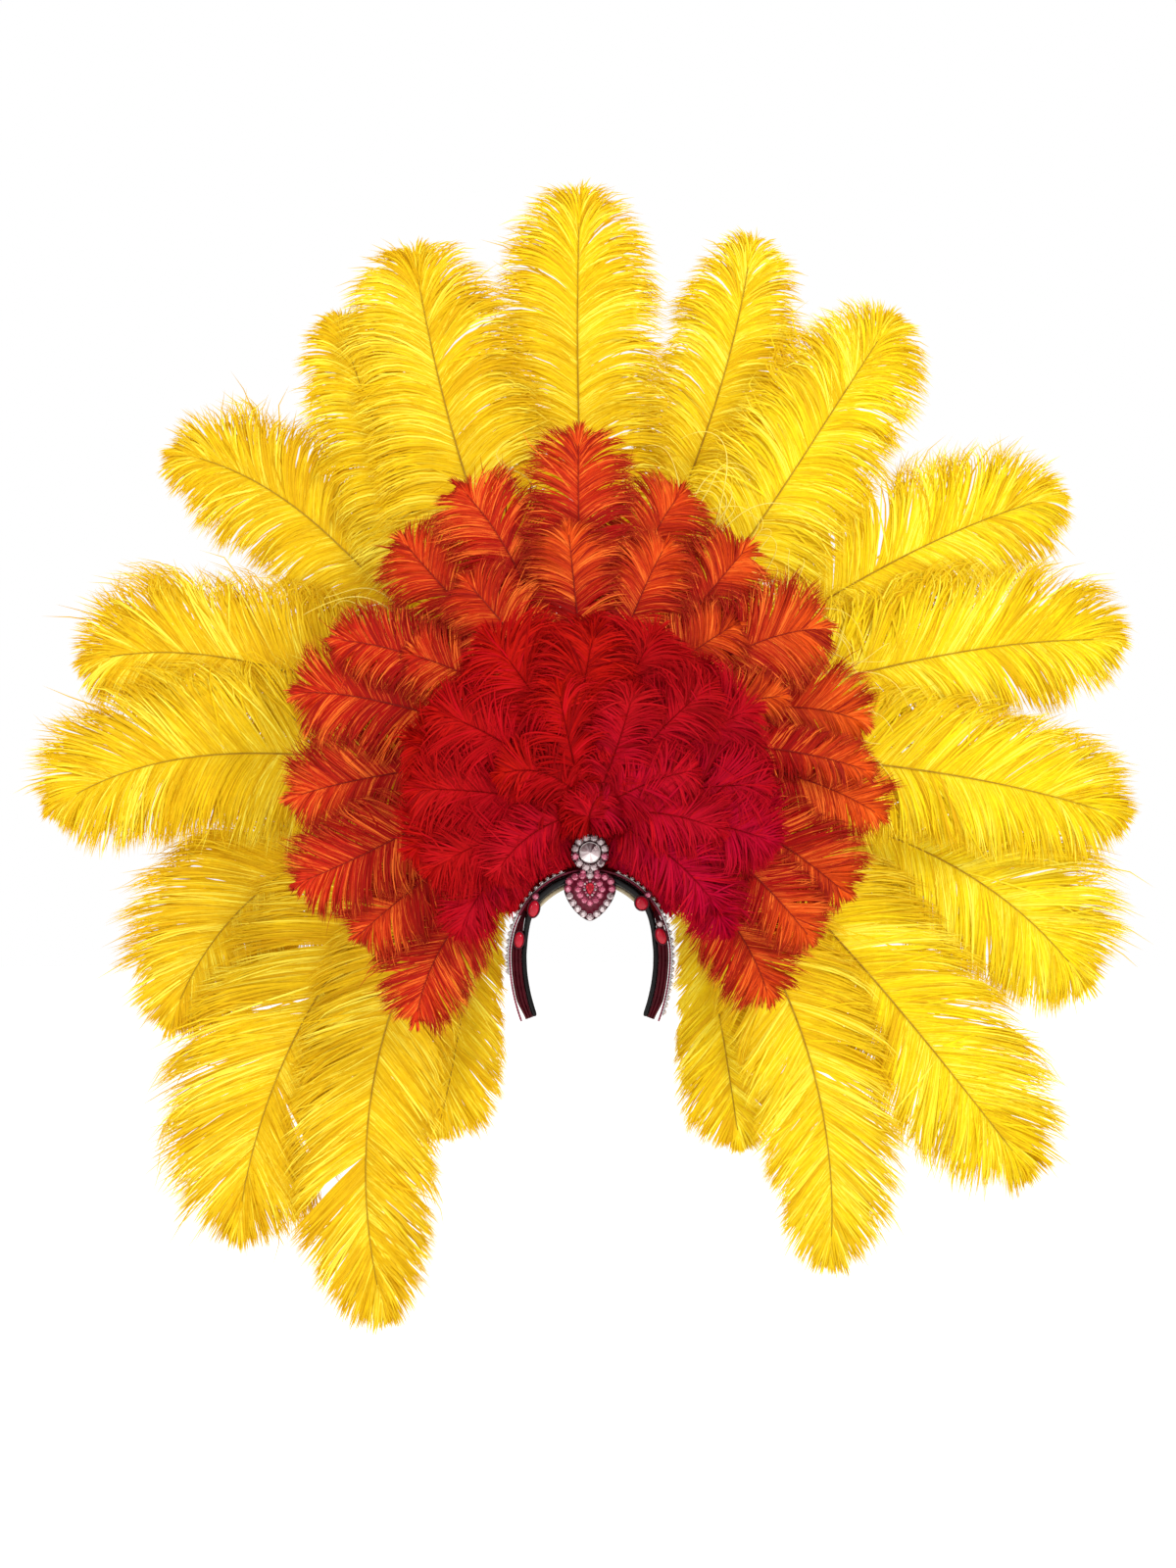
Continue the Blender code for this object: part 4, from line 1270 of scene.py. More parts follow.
@dataclass
class Medallion:
    """Heart plate with two rows of stones, its pear stone and the small stones on its neck."""

    palette: Palette
    random: np.random.Generator
    outline: Shield = Shield(0.0288, 0.020, 0.0347)
    centre_z: float = -0.0058
    back: float = -0.0280
    plate: float = 0.0026
    stone_radius: float = 0.0037
    stone_height: float = 0.0027
    outer_inset: float = 0.0042
    outer_stones: int = 18
    inner: Shield = Shield(0.0134, 0.0082, 0.0148)
    inner_stones: int = 11
    pear: Shield = Shield(0.0046, 0.0046, 0.0089, 2.0, 1.4)
    pear_up: float = 0.0032
    pear_raise: float = 0.0042

    def build(self) -> None:
        """Builds the plate with its stones, and the pear stone."""
        seat = front_seat(0.0, self.back, self.centre_z)
        shape = Shape()
        profile = ((0.0, 0.0), (-0.0002, 0.0012), (0.0004, 0.0026), (0.0010, 0.0032), (0.0017, 0.0028),
                   (0.0021, self.plate))
        rings = []
        for inset, height in profile:
            edge = self.outline.inset(inset).row(120)
            rings.append(seat.at(edge[:, 0], edge[:, 1], height))
        shape.loft(np.array(rings), 2, tone=0.35)
        face = self.outline.inset(0.0023).row(120)
        shape.loft(np.array([seat.at(face[:, 0], face[:, 1], self.plate + lift) for lift in (-0.0006, 0.00015)]), 3)
        for index, (right, up) in enumerate(self.outline.inset(self.outer_inset).row(self.outer_stones)):
            pale = up < -0.004 or index % 6 == 3
            self.set_stone(shape, seat.at(right, up, self.plate), self.stone_radius, 1 if pale else 0)
        for index, (right, up) in enumerate(self.inner.row(self.inner_stones)):
            if index not in (5, 6):
                self.set_stone(shape, seat.at(right, up, self.plate), self.stone_radius * 0.96, 0)
        for right in (-0.0078, 0.0, 0.0078):
            spot = seat.at(right, self.outline.top + 0.0004 - abs(right) * 0.1, self.plate + 0.0002)
            self.set_stone(shape, spot, 0.0027, 0 if right else 1)
        around = Shield(0.0066, 0.0064, 0.0110, 2.0, 1.4)
        for index, (right, up) in enumerate(around.row(14)):
            self.set_stone(shape, seat.at(right, up + self.pear_up, self.plate), 0.0014, index % 2, small=True)
        finishes = self.palette.pick("rose_stones", "clear_stones", "dark_setting", "raspberry_ground")
        shape.build("heart_medallion", finishes, "pink_stone", "medallion")
        self.build_pear()

    def set_stone(self, shape: Shape, spot: Array, radius: float, material: int, small: bool = False) -> None:
        """A stone in its collar, with four prongs.

        Args:
            shape: The piece that it is set on.
            spot: Where it sits on the plate.
            radius: The stone's radius.
            material: Index of the stone's material.
            small: True for a stone too small for a collar.
        """
        seat = front_seat(*spot)
        height = self.stone_height * radius / self.stone_radius
        shape.stone(front_seat(spot[0], spot[1] - 0.0003, spot[2]), radius, height, self.random, material)
        if small:
            return
        shape.collar(seat, radius * 1.01, radius * 1.01, 0.0003, 0.0008, material, sides=14, tone=0.35)
        for quarter in range(4):
            angle = math.pi / 4 + quarter * math.pi / 2
            prong = seat.at(radius * 0.98 * math.sin(angle), radius * 0.98 * math.cos(angle), 0.0011)
            shape.bead(prong, np.array((0.0005, 0.0006, 0.0005)), 2, 0.9, 5)

    def build_pear(self) -> None:
        """The red pear stone in a thin collar."""
        seat = front_seat(0.0, self.back - self.plate - GAP, self.centre_z + self.pear_up)
        shape = Shape()
        sides = 18
        steps = ((0.94, 0.0), (1.0, 0.28), (0.80, 0.70), (0.52, 1.0))
        rings = []
        for scale, lift in steps:
            edge = self.pear.row(sides) * scale
            rings.append(seat.at(edge[:, 0], edge[:, 1], lift * self.pear_raise))
        faces = []
        for row in range(len(steps) - 1):
            for index in range(sides):
                after = (index + 1) % sides
                near, far = row * sides, (row + 1) * sides
                faces.append((near + index, near + after, far + after, far + index))
        faces.append(tuple(range(sides))[::-1])
        faces.append(tuple(range((len(steps) - 1) * sides, len(steps) * sides)))
        # random tones give the pear's facets painted glints
        shape.add(np.array(rings), faces, 0, list(self.random.random(len(faces))), True)
        shape.build("pear_stone", self.palette.pick("ruby_stones"), "ruby", "medallion_pear")


@dataclass
class Finial:
    """Round setting above the medallion: a ring of clear stones around a pointed crystal."""

    palette: Palette
    random: np.random.Generator
    centre_z: float = 0.0357
    back: float = -0.0280
    radius: float = 0.0212
    plate: float = 0.0026
    stones: int = 12
    stone_radius: float = 0.0041
    stone_circle: float = 0.0170
    crystal_radius: float = 0.0120
    crystal_height: float = 0.0060

    def build(self) -> None:
        """Builds the ring and its crystal."""
        seat = front_seat(0.0, self.back, self.centre_z)
        shape = Shape()
        around = np.linspace(0, 2 * math.pi, 72, endpoint=False)
        scallop = 1 + 0.018 * np.cos(around * self.stones + math.pi)
        rings = []
        for inset, height in ((0.0, 0.0), (0.0, 0.0018), (0.0006, self.plate), (0.0020, self.plate)):
            size = (self.radius - inset) * scallop
            rings.append(seat.at(size * np.sin(around), size * np.cos(around), height))
        shape.loft(np.array(rings), 2, tone=0.4)
        for index in range(self.stones):
            angle = 2 * math.pi * (index + 0.5) / self.stones
            spot = seat.at(self.stone_circle * math.sin(angle), self.stone_circle * math.cos(angle), self.plate)
            perch = front_seat(*spot)
            shape.stone(front_seat(spot[0], spot[1] - 0.0004, spot[2]), self.stone_radius, 0.0027, self.random,
                        1 if index in (3, 8) else 0)
            shape.collar(perch, self.stone_radius * 1.02, self.stone_radius * 1.02, 0.0004, 0.0011, 2, sides=14,
                         tone=0.7)
            for quarter in range(4):
                turn = angle + math.pi / 4 + quarter * math.pi / 2
                prong = perch.at(self.stone_radius * math.sin(turn), self.stone_radius * math.cos(turn), 0.0014)
                shape.bead(prong, np.full(3, 0.0006), 3, 0.9, 5)
        shape.build("finial_setting", self.palette.pick("clear_stones", "rose_stones", "dark_setting",
                                                        "silver_setting"), "clear_stone", "finial_ring")
        crystal = Shape()
        perch = front_seat(0.0, self.back - self.plate - GAP - 0.0008, self.centre_z)
        crystal.stone(perch, self.crystal_radius * 0.94, self.crystal_height - 0.0009, self.random, 0,
                      Facets.CONE, 9)
        crystal.collar(perch, self.crystal_radius * 0.95, self.crystal_radius * 0.95, 0.0006, 0.0012, 1, sides=40,
                       tone=0.6)
        crystal.build("finial_stone", self.palette.pick("clear_stones", "silver_setting"), "clear_stone",
                      "finial_crystal")


@dataclass(frozen=True)
class CabochonRow:
    """Place and size of one ruby oval; bead is the direction of its small round stone, from straight up."""

    name: str
    along: float
    inset: float
    half_width: float
    half_height: float
    turn: float
    bead: float | None


@dataclass
class Cabochons:
    """Ruby ovals in beaded rims, with their small round stones."""

    palette: Palette
    random: np.random.Generator
    rim: float = 0.0017
    rim_height: float = 0.0026
    dome: float = 0.0034
    bead_radius: float = 0.0036
    rows: tuple[CabochonRow, ...] = (
        CabochonRow("cabochon_upper_left", -0.385, 0.0085, 0.0058, 0.0092, 12, 8),
        CabochonRow("cabochon_lower_left", -0.575, 0.0070, 0.0052, 0.0088, 4, None),
        CabochonRow("cabochon_upper_right", 0.345, 0.0085, 0.0070, 0.0074, -20, 38),
        CabochonRow("cabochon_lower_right", 0.555, 0.0060, 0.0056, 0.0092, -20, -6),
    )

    def build_one(self, row: CabochonRow) -> None:
        """One cabochon where its solid is.

        Args:
            row: Its place and size.
        """
        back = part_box(row.name)[1].y
        spot = ARCH.point(np.array(row.along), row.inset, 0.0)
        seat = front_seat(spot[0], back, spot[2])
        turn = math.radians(row.turn)
        shape = Shape()
        around = np.linspace(0, 2 * math.pi, 40, endpoint=False)
        rings = []
        for grow, height in ((self.rim, 0.0), (self.rim, 0.0010), (self.rim * 0.7, 0.0017), (0.0, 0.0019)):
            right = (row.half_width + grow) * np.sin(around)
            up = (row.half_height + grow) * np.cos(around)
            rings.append(seat.at(right * math.cos(turn) + up * math.sin(turn),
                                 up * math.cos(turn) - right * math.sin(turn), height))
        shape.loft(np.array(rings), 1, tone=0.3)
        lip = Seat(seat.at(0.0, 0.0, 0.0014), seat.right, seat.up, seat.out)
        shape.collar(lip, row.half_width + 0.0007, row.half_height + 0.0007, 0.0007, self.rim_height - 0.0012, 1,
                     turn, 36, 0.7)
        stone = Seat(seat.at(0.0, 0.0, self.rim_height * 0.7), seat.right, seat.up, seat.out)
        shape.dome(stone, row.half_width, row.half_height, self.dome + self.rim_height * 0.3, 0, turn)
        if row.bead is not None:
            away = math.radians(row.bead)
            far = row.half_height + self.rim + self.bead_radius * 0.8
            round_seat = Seat(seat.at(far * math.sin(away), far * math.cos(away), 0.0), seat.right, seat.up, seat.out)
            shape.collar(round_seat, self.bead_radius + 0.0003, self.bead_radius + 0.0003, 0.0008, 0.0024, 1,
                         tone=0.6)
            clear = row.name == "cabochon_lower_right"
            raised = Seat(round_seat.at(0.0, 0.0, 0.0012), seat.right, seat.up, seat.out)
            shape.stone(raised, self.bead_radius, 0.0034, self.random, 2 if clear else 3)
        shape.build(row.name.replace("cabochon", "ruby_oval"),
                    self.palette.pick("ruby_stones", "dark_setting", "clear_stones", "rose_stones"), "ruby",
                    row.name)

    def build(self) -> None:
        """Builds them all."""
        for row in self.rows:
            self.build_one(row)


@dataclass
class BackingPlate:
    """The felt-covered plate that carries the quills, bound with stitches around its rim."""

    palette: Palette
    hub_z: float = 0.167
    front: float = 0.010
    thickness: float = 0.003
    top_radius: float = 0.142
    low_radius: float = 0.216
    widens_from: float = 60.0
    widens_to: float = 140.0
    low_angle: float = 152.0

    def radius(self, degrees: Array | float) -> Array:
        """Radius of the plate in a direction from straight up.

        Args:
            degrees: Directions, clockwise.

        Returns:
            The radii.
        """
        widen = ease((np.abs(degrees) - self.widens_from) / (self.widens_to - self.widens_from))
        return self.top_radius + (self.low_radius - self.top_radius) * widen

    def build(self) -> None:
        """Dresses the plate's solid and adds the stitches."""
        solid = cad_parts["backing_plate"]
        solid.data.materials.clear()
        solid.data.materials.append(self.palette.materials["plate_felt"])
        shape = Shape()
        middle = self.front + self.thickness / 2
        for degrees in np.arange(-self.low_angle + 1, self.low_angle, 1.4):
            angle = math.radians(degrees)
            radius = float(self.radius(degrees)) - 0.0036
            out = np.array((math.sin(angle), 0.0, math.cos(angle)))
            for face in (-1, 1):
                spot = np.array((0, middle + face * (self.thickness / 2 + 0.0001), self.hub_z)) + out * radius
                shape.bead(spot, 0.0005 + np.abs(out) * 0.0016, 0, 0.5, 5)
        shape.build("plate_stitching", self.palette.pick("maroon_thread"), "plate_felt")



@dataclass(frozen=True)
class Plume:
    """One plume: directions of its rachis at root, middle and tip in degrees clockwise from straight up.

    reach and width are shares of the ring's own, level is its layer away from the plate, and root_radius
    is set only where it starts nearer the hub than the ring does.
    """

    root: float
    middle: float
    tip: float
    reach: float
    width: float
    level: float
    root_radius: float | None = None


@dataclass(frozen=True)
class RingSizes:
    """Sizes of one ring of plumes, and how its barbs grow."""

    ring: Ring
    hub_z: float
    reach: float
    width: float
    quill: float
    side: int
    stand_off: float
    level_gap: float
    lean: float
    curl: float
    curl_start: float
    ramp: float
    barbs: int
    segments: int
    barb_width: float
    lock_length: float
    clump: float
    ragged: float
    gravity: float
    fluff: float
    down_start: float
    loose: float = 1.0
    # direction, in degrees, by which the painted lit side is turned
    painted_light_turn: float = 0.0
    downy: float = 1.15
    overreach: float = 1.07
    last_base: float = 0.95


@dataclass
class PlumeRing:
    """A ring of plumes, each a rachis with hundreds of barbs in locks."""

    palette: Palette
    plate: BackingPlate
    sizes: RingSizes
    plumes: tuple[Plume, ...]
    extra: tuple[Plume, ...]
    seed: int
    sweep: float = 0.28
    swell: float = 0.30
    rounding: float = 0.30
    camber: float = 0.004
    keep_off: float = 0.005
    outline_steps: int = 160

    def root_radius(self, plume: Plume) -> float:
        """Where a plume's quill starts, from its hub."""
        if plume.root_radius is not None:
            return plume.root_radius
        if self.sizes.ring is Ring.RED:
            return 0.045
        return float(self.plate.radius(plume.root)) - 0.020

    def rachis(self, plume: Plume, share: Array) -> Array:
        """Points of the rachis as seen from the front.

        Args:
            plume: The plume.
            share: From 0 at its root to 1 at its tip.

        Returns:
            The points, at depth 0.
        """
        degrees = (plume.root * (1 - share) * (1 - 2 * share) + plume.middle * 4 * share * (1 - share)
                   + plume.tip * share * (2 * share - 1))
        start = self.root_radius(plume)
        radius = start + (self.sizes.reach * plume.reach - start) * share
        angle = np.radians(degrees)
        return np.stack((radius * np.sin(angle), 0 * radius, self.sizes.hub_z + radius * np.cos(angle)), axis=-1)

    def rise(self, plume: Plume, points: Array) -> Array:
        """How far points have left the plate, from 0 to 1.

        Args:
            plume: The plume; one whose root lies past the hub crosses over it.
            points: Points as seen from the front.

        Returns:
            The shares.
        """
        across, up = points[..., 0], points[..., 2] - self.sizes.hub_z
        start = self.root_radius(plume)
        away = np.hypot(across, up)
        if start < 0:
            turn = math.radians(plume.root)
            away = across * math.sin(turn) + up * math.cos(turn)
        return ease((away - start) / self.sizes.ramp)

    def depth(self, plume: Plume, points: Array, least_rise: Array | float = 0.0) -> Array:
        """Depth of the plume's middle surface.

        Args:
            plume: The plume.
            points: Points as seen from the front.
            least_rise: The least that they have left the plate.

        Returns:
            Their Y.
        """
        sizes = self.sizes
        radius = np.hypot(points[..., 0], points[..., 2] - sizes.hub_z)
        if sizes.side > 0:
            seat = self.plate.front + self.plate.thickness + GAP + sizes.quill
        else:
            seat = self.plate.front - GAP - sizes.quill
        share = radius / sizes.reach
        bend = np.maximum(share - sizes.curl_start, 0.0) / (1 - sizes.curl_start)
        away = sizes.side * (sizes.stand_off + plume.level * sizes.level_gap) + sizes.lean * share
        return seat + np.maximum(self.rise(plume, points), least_rise) * (away - sizes.curl * bend**2)

    def half_width(self, share: Array) -> Array:
        """Half width of the vane as a share of its widest."""
        full = np.sqrt(np.maximum(1 - np.maximum(1 - share / self.swell, 0.0) ** 2, 0.0))
        taper = np.maximum(share - (1 - self.rounding), 0.0) / self.rounding
        return full * np.sqrt(np.maximum(1 - taper**2, 0.0))

    def barb_paths(self, plume: Plume, random: np.random.Generator) -> tuple[Array, Array, Array, Array]:
        """Centre lines of all barbs of one plume.

        Args:
            plume: The plume.
            random: Its own random numbers.

        Returns:
            Points by barb and step, tone of each barb, place of each barb along the vane, and twist.
        """
        sizes = self.sizes
        fine = np.linspace(sizes.down_start, 1.0, self.outline_steps)
        line = self.rachis(plume, fine)
        run = np.concatenate(((0.0,), np.cumsum(np.linalg.norm(np.diff(line, axis=0), axis=1))))
        total = run[-1]
        heading = unit(np.gradient(line, run, axis=0))
        widest = sizes.width * plume.width / 2
        half = widest * self.half_width((fine - sizes.down_start) / (1 - sizes.down_start))
        forward = np.maximum.accumulate(run + self.sweep * half)
        area = math.sqrt(total * widest / (0.5 * sizes.reach * sizes.width))
        per_side = int(sizes.barbs * min(max(area, 0.55), 1.15) / 2)
        base = np.concatenate([
            total * sizes.last_base * ((np.arange(per_side) + random.random(per_side)) / per_side) ** 0.88
            for _ in range(2)])
        side = np.repeat((-1.0, 1.0), per_side)
        count = len(base)
        share = base / total
        start = np.stack([np.interp(base, run, line[:, axis]) for axis in range(3)], axis=-1)
        ahead = unit(np.stack([np.interp(base, run, heading[:, axis]) for axis in range(3)], axis=-1))
        across = np.stack((ahead[:, 2], np.zeros(count), -ahead[:, 0]), axis=-1) * side[:, None]

        locks = int(2.2 * total / sizes.lock_length)
        edges = np.sort(random.random((2, locks)), axis=1) * total
        which = np.where(side < 0, np.searchsorted(edges[0], base), locks + 1 + np.searchsorted(edges[1], base))
        number = 2 * (locks + 1)
        sums = np.bincount(which, minlength=number)
        centre = np.bincount(which, base, minlength=number) / np.maximum(sums, 1)
        lock = {
            "turn": random.normal(0, 3.2 * sizes.loose, number),
            "length": 1 - sizes.ragged * random.random(number) ** 2,
            "depth": random.normal(0, sizes.fluff, number),
            "curl": random.normal(0, 26.0, number),
            "tone": random.normal(0, 0.13, number),
        }
        stray = random.random(count) < 0.04
        fan = ease((share - 0.66) / 0.22)
        turn = lock["turn"][which] + random.normal(0, 1, count) * (2.5 + 5 * fan) * sizes.loose
        turn += stray * random.normal(0, 16, count)
        lean = np.radians(np.interp(share, (0, 0.15, 0.6, 0.8, 0.95), (74, 56, 50, 40, 6)) + turn)
        bend = np.radians(np.interp(share, (0, 0.5, 0.8, 0.95), (20, 22, 24, 6)) + random.normal(0, 6, count))
        tip_curl = np.radians((lock["curl"][which] + random.normal(0, 14, count)) * (1 - 0.7 * fan))
        steps = np.linspace(0, 1, sizes.segments + 1)
        path = np.zeros((count, sizes.segments + 1, 3))
        for index in range(1, sizes.segments + 1):
            middle = (steps[index] + steps[index - 1]) / 2
            angle = lean + bend * middle**1.2 + tip_curl * max(middle - 0.55, 0.0) ** 2 * 4
            way = np.cos(angle)[:, None] * ahead + np.sin(angle)[:, None] * across
            way[:, 2] -= sizes.gravity * middle**1.5
            path[:, index] = path[:, index - 1] + unit(way) / sizes.segments
        end = path[:, -1]
        reach_ahead = np.sum(end * ahead, axis=1)
        reach_across = np.maximum(np.sum(end * across, axis=1), 0.12)
        low = np.zeros(count)
        high = np.full(count, 1.7 * widest)
        for _ in range(16):
            tried = (low + high) / 2
            outline = np.interp(base + tried * reach_ahead, forward, half, right=0.0)
            inside = tried * reach_across < outline
            low = np.where(inside, tried, low)
            high = np.where(inside, high, tried)
        length = np.maximum((low + high) / 2, 0.40 * widest)
        beyond = np.interp(share, (0.0, 0.45, 0.8), (sizes.downy, 0.5 * (sizes.downy + sizes.overreach),
                                                     sizes.overreach))
        length *= lock["length"][which] * (beyond + random.normal(0, 0.05, count) + stray * 0.10)
        path *= length[:, None, None]
        pull = (centre[which] - base) * sizes.clump
        path += ahead[:, None, :] * (pull[:, None] * steps**2.4)[..., None]
        path += start[:, None, :]

        seen = path.copy()
        least = self.rise(plume, start)
        path[..., 1] = self.depth(plume, seen, least[:, None])
        offset = np.linalg.norm(seen - start[:, None, :], axis=-1)
        path[..., 1] += self.camber * (offset / widest) ** 2
        wave = lock["depth"][which] + random.normal(0, 0.35 * sizes.fluff, count)
        path[..., 1] += wave[:, None] * steps**1.4 + 0.0008
        tone = np.clip(0.5 + lock["tone"][which] + random.normal(0, 0.20, count), 0, 1)
        blocked = ARCH.blocks(path, self.keep_off)
        clear = ~(blocked[:, 0] | blocked[:, 1] | blocked[:, 2])
        first = np.where(blocked.any(axis=1), blocked.argmax(axis=1), sizes.segments + 1) - 1
        shorten = np.minimum(first / sizes.segments, 1.0)
        path = path[:, :1] + (path - path[:, :1]) * shorten[:, None, None]
        twist = np.radians(random.normal(0, 24, count))
        return path[clear], tone[clear], share[clear], twist[clear]

    def ribbons(self, path: Array, twist: Array) -> Array:
        """Widens the barbs' centre lines to tapered ribbons.

        Args:
            path: Points by barb and step.
            twist: How far each ribbon is turned.

        Returns:
            Points by barb: two at each step and one at the end.
        """
        steps = np.linspace(0, 1, path.shape[1])
        way = unit(np.gradient(path, axis=1))
        flat = unit(np.cross(way, np.array((0.0, 1.0, 0.0))))
        face = np.cross(flat, way)
        angle = twist[:, None] * (0.5 + steps)
        wide = np.cos(angle)[..., None] * flat + np.sin(angle)[..., None] * face
        size = self.sizes.barb_width / 2 * np.interp(steps, (0, 0.15, 0.55, 1), (0.6, 1.0, 0.9, 0.25))
        left = path - wide * size[None, :, None]
        right = path + wide * size[None, :, None]
        pairs = np.stack((left[:, :-1], right[:, :-1]), axis=2).reshape(len(path), -1, 3)
        return np.concatenate((pairs, path[:, -1:]), axis=1)

    def build_plume(self, plume: Plume, number: int, node: str | None) -> int:
        """One plume with its rachis.

        Args:
            plume: The plume.
            number: Its number in the ring.
            node: The solid that it stands for, or None.

        Returns:
            How many triangles it has.
        """
        sizes = self.sizes
        random = np.random.default_rng(self.seed * 1000 + number)
        path, tone, share, twist = self.barb_paths(plume, random)
        points = self.ribbons(path, twist)
        barbs, per = points.shape[:2]
        first = np.arange(barbs)[:, None] * per
        quads = np.concatenate([
            first + np.array((2 * k, 2 * k + 1, 2 * k + 3, 2 * k + 2)) for k in range(sizes.segments - 1)])
        last = 2 * (sizes.segments - 1)
        tips = first + np.array((last, last + 1, last + 2))
        steps = np.concatenate((np.repeat(np.linspace(0, 1, sizes.segments + 1)[:-1], 2), (1.0,)))
        across = np.concatenate((np.tile((-1.0, 1.0), sizes.segments), (0.0,)))

        tube_sides = 6
        stations = np.linspace(0, 0.93, 26)
        spine = self.rachis(plume, stations)
        spine[:, 1] = self.depth(plume, spine)
        way = unit(np.gradient(spine, axis=0))
        flat = unit(np.cross(way, np.array((0.0, 1.0, 0.0))))
        face = np.cross(flat, way)
        around = np.linspace(0, 2 * math.pi, tube_sides, endpoint=False)
        thick = sizes.quill * (0.56 - 0.44 * stations**0.8)
        tube = spine[:, None] + thick[:, None, None] * (
            np.cos(around)[None, :, None] * flat[:, None] + np.sin(around)[None, :, None] * face[:, None])
        base = barbs * per
        rows, cols = np.meshgrid(np.arange(len(stations) - 1), np.arange(tube_sides), indexing="ij")
        after = (cols + 1) % tube_sides
        sides = base + np.stack((rows * tube_sides + cols, rows * tube_sides + after,
                                 (rows + 1) * tube_sides + after, (rows + 1) * tube_sides + cols), axis=-1)
        sides = sides.reshape(-1, 4)
        ends = base + np.array((np.arange(tube_sides)[::-1],
                                (len(stations) - 1) * tube_sides + np.arange(tube_sides)))

        every = np.concatenate((points.reshape(-1, 3), tube.reshape(-1, 3)))
        low, high = room_limits()
        every = np.clip(every, low, high)
        mesh = bpy.data.meshes.new("plume")
        mesh.vertices.add(len(every))
        mesh.vertices.foreach_set("co", every.astype(np.float32).ravel())
        corners = np.concatenate((quads.ravel(), sides.ravel(), tips.ravel(), ends.ravel())).astype(np.int32)
        counts = np.concatenate((
            np.full(len(quads) + len(sides), 4), np.full(len(tips), 3), np.full(2, tube_sides)))
        mesh.loops.add(len(corners))
        mesh.loops.foreach_set("vertex_index", corners)
        mesh.polygons.add(len(counts))
        mesh.polygons.foreach_set("loop_start", (np.cumsum(counts) - counts).astype(np.int32))
        finish = np.concatenate((np.zeros(len(quads)), np.ones(len(sides)), np.zeros(len(tips)), np.ones(2)))
        mesh.polygons.foreach_set("material_index", finish.astype(np.int32))
        mesh.polygons.foreach_set("use_smooth", np.ones(len(counts), bool))
        mesh.update(calc_edges=True)
        spare = np.full(tube.shape[0] * tube_sides, 0.5)
        # painted light: plumes towards the lit side get a share near 1, and so the brighter body colour
        lit_side = math.sin(math.radians(plume.middle - sizes.painted_light_turn))
        painted_light_side = np.clip(0.5 + 0.5 * lit_side + random.normal(0, 0.12), 0, 1)
        values = {
            "tone": np.concatenate((np.repeat(tone, per), spare)),
            "reach": np.concatenate((np.tile(steps, barbs), spare * 0)),
            "height": np.concatenate((np.repeat(share, per), spare)),
            "across": np.concatenate((np.tile(across, barbs), spare * 0)),
            "painted_light_side": np.full(len(every), painted_light_side),
        }
        for label, data in values.items():
            attribute = mesh.attributes.new(label, "FLOAT", "POINT")
            attribute.data.foreach_set("value", data.astype(np.float32))
        ring = sizes.ring.value
        place(mesh, f"{ring}_plume_{number:02d}", self.palette.pick(ring + "_barbs", ring + "_quill"),
              "plume_" + ring, *([node] if node else []))
        return int(np.sum(counts - 2))

    def build(self) -> int:
        """Builds every plume of the ring.

        Returns:
            How many triangles they have together.
        """
        triangles = 0
        for index, plume in enumerate(self.plumes + self.extra):
            node = f"plume_{self.sizes.ring.value}_{index + 1:02d}" if index < len(self.plumes) else None
            triangles += self.build_plume(plume, index + 1, node)
        return triangles


def room_limits() -> tuple[Array, Array]:
    """How far the barbs may stand out of the solids' box.

    Returns:
        The lowest and the highest corner.
    """
    low, high = (np.array(corner, float) for corner in CAD_BOX)
    spare = 0.02 * (high - low) + 0.008
    return low - spare, high + spare


YELLOW_PLUMES = (
    Plume(-146, -155, -159, 0.80, 0.72, 2),
    Plume(-136, -147, -161, 1.13, 0.91, 0),
    Plume(-126, -134, -145, 1.12, 1.18, 1),
    Plume(-114, -114, -125, 0.95, 1.03, 2),
    Plume(-101, -93, -98, 1.00, 1.08, 0),
    Plume(-86, -78, -82, 0.95, 1.03, 1),
    Plume(-66, -53, -56, 0.94, 1.00, 2),
    Plume(-48, -38, -31, 0.91, 0.87, 1),
    Plume(-31, -25, -20, 0.95, 1.15, 0),
    Plume(-2, -2, -1, 1.00, 1.10, 1),
    Plume(20, 21, 18, 0.97, 0.92, 2),
    Plume(42, 38, 36, 0.95, 1.03, 0),
    Plume(62, 60, 63, 0.98, 1.03, 2),
    Plume(79, 77, 80, 1.00, 1.00, 1),
    Plume(96, 96, 99, 1.00, 0.93, 0),
    Plume(110, 109, 117, 1.03, 1.13, 2),
    Plume(125, 131, 135, 1.14, 1.03, 1),
    Plume(137, 145, 156, 1.07, 0.87, 0),
    Plume(147, 155, 160, 0.82, 0.70, 2),
)
ORANGE_PLUMES = (
    Plume(-146, -145, -149, 1.10, 0.91, 0),
    Plume(-132, -131, -131, 1.01, 0.88, 1),
    Plume(-118, -118, -117, 1.07, 0.98, 2),
    Plume(-102, -101, -102, 1.00, 1.04, 0),
    Plume(-85, -81, -82, 0.97, 1.08, 1),
    Plume(-66, -66, -70, 0.90, 0.80, 2),
    Plume(-46, -45, -44, 0.90, 0.98, 0),
    Plume(-24, -24, -28, 0.92, 1.08, 1),
    Plume(-3, -3, -2, 0.99, 1.08, 2),
    Plume(17, 17, 21, 0.86, 1.04, 0),
    Plume(40, 40, 40, 0.81, 0.98, 1),
    Plume(61, 61, 66, 0.85, 1.08, 2),
    Plume(82, 82, 88, 0.91, 0.95, 0),
    Plume(101, 102, 106, 1.00, 0.88, 1),
    Plume(119, 120, 122, 0.99, 0.92, 2),
    Plume(143, 143, 146, 1.05, 0.91, 0),
)
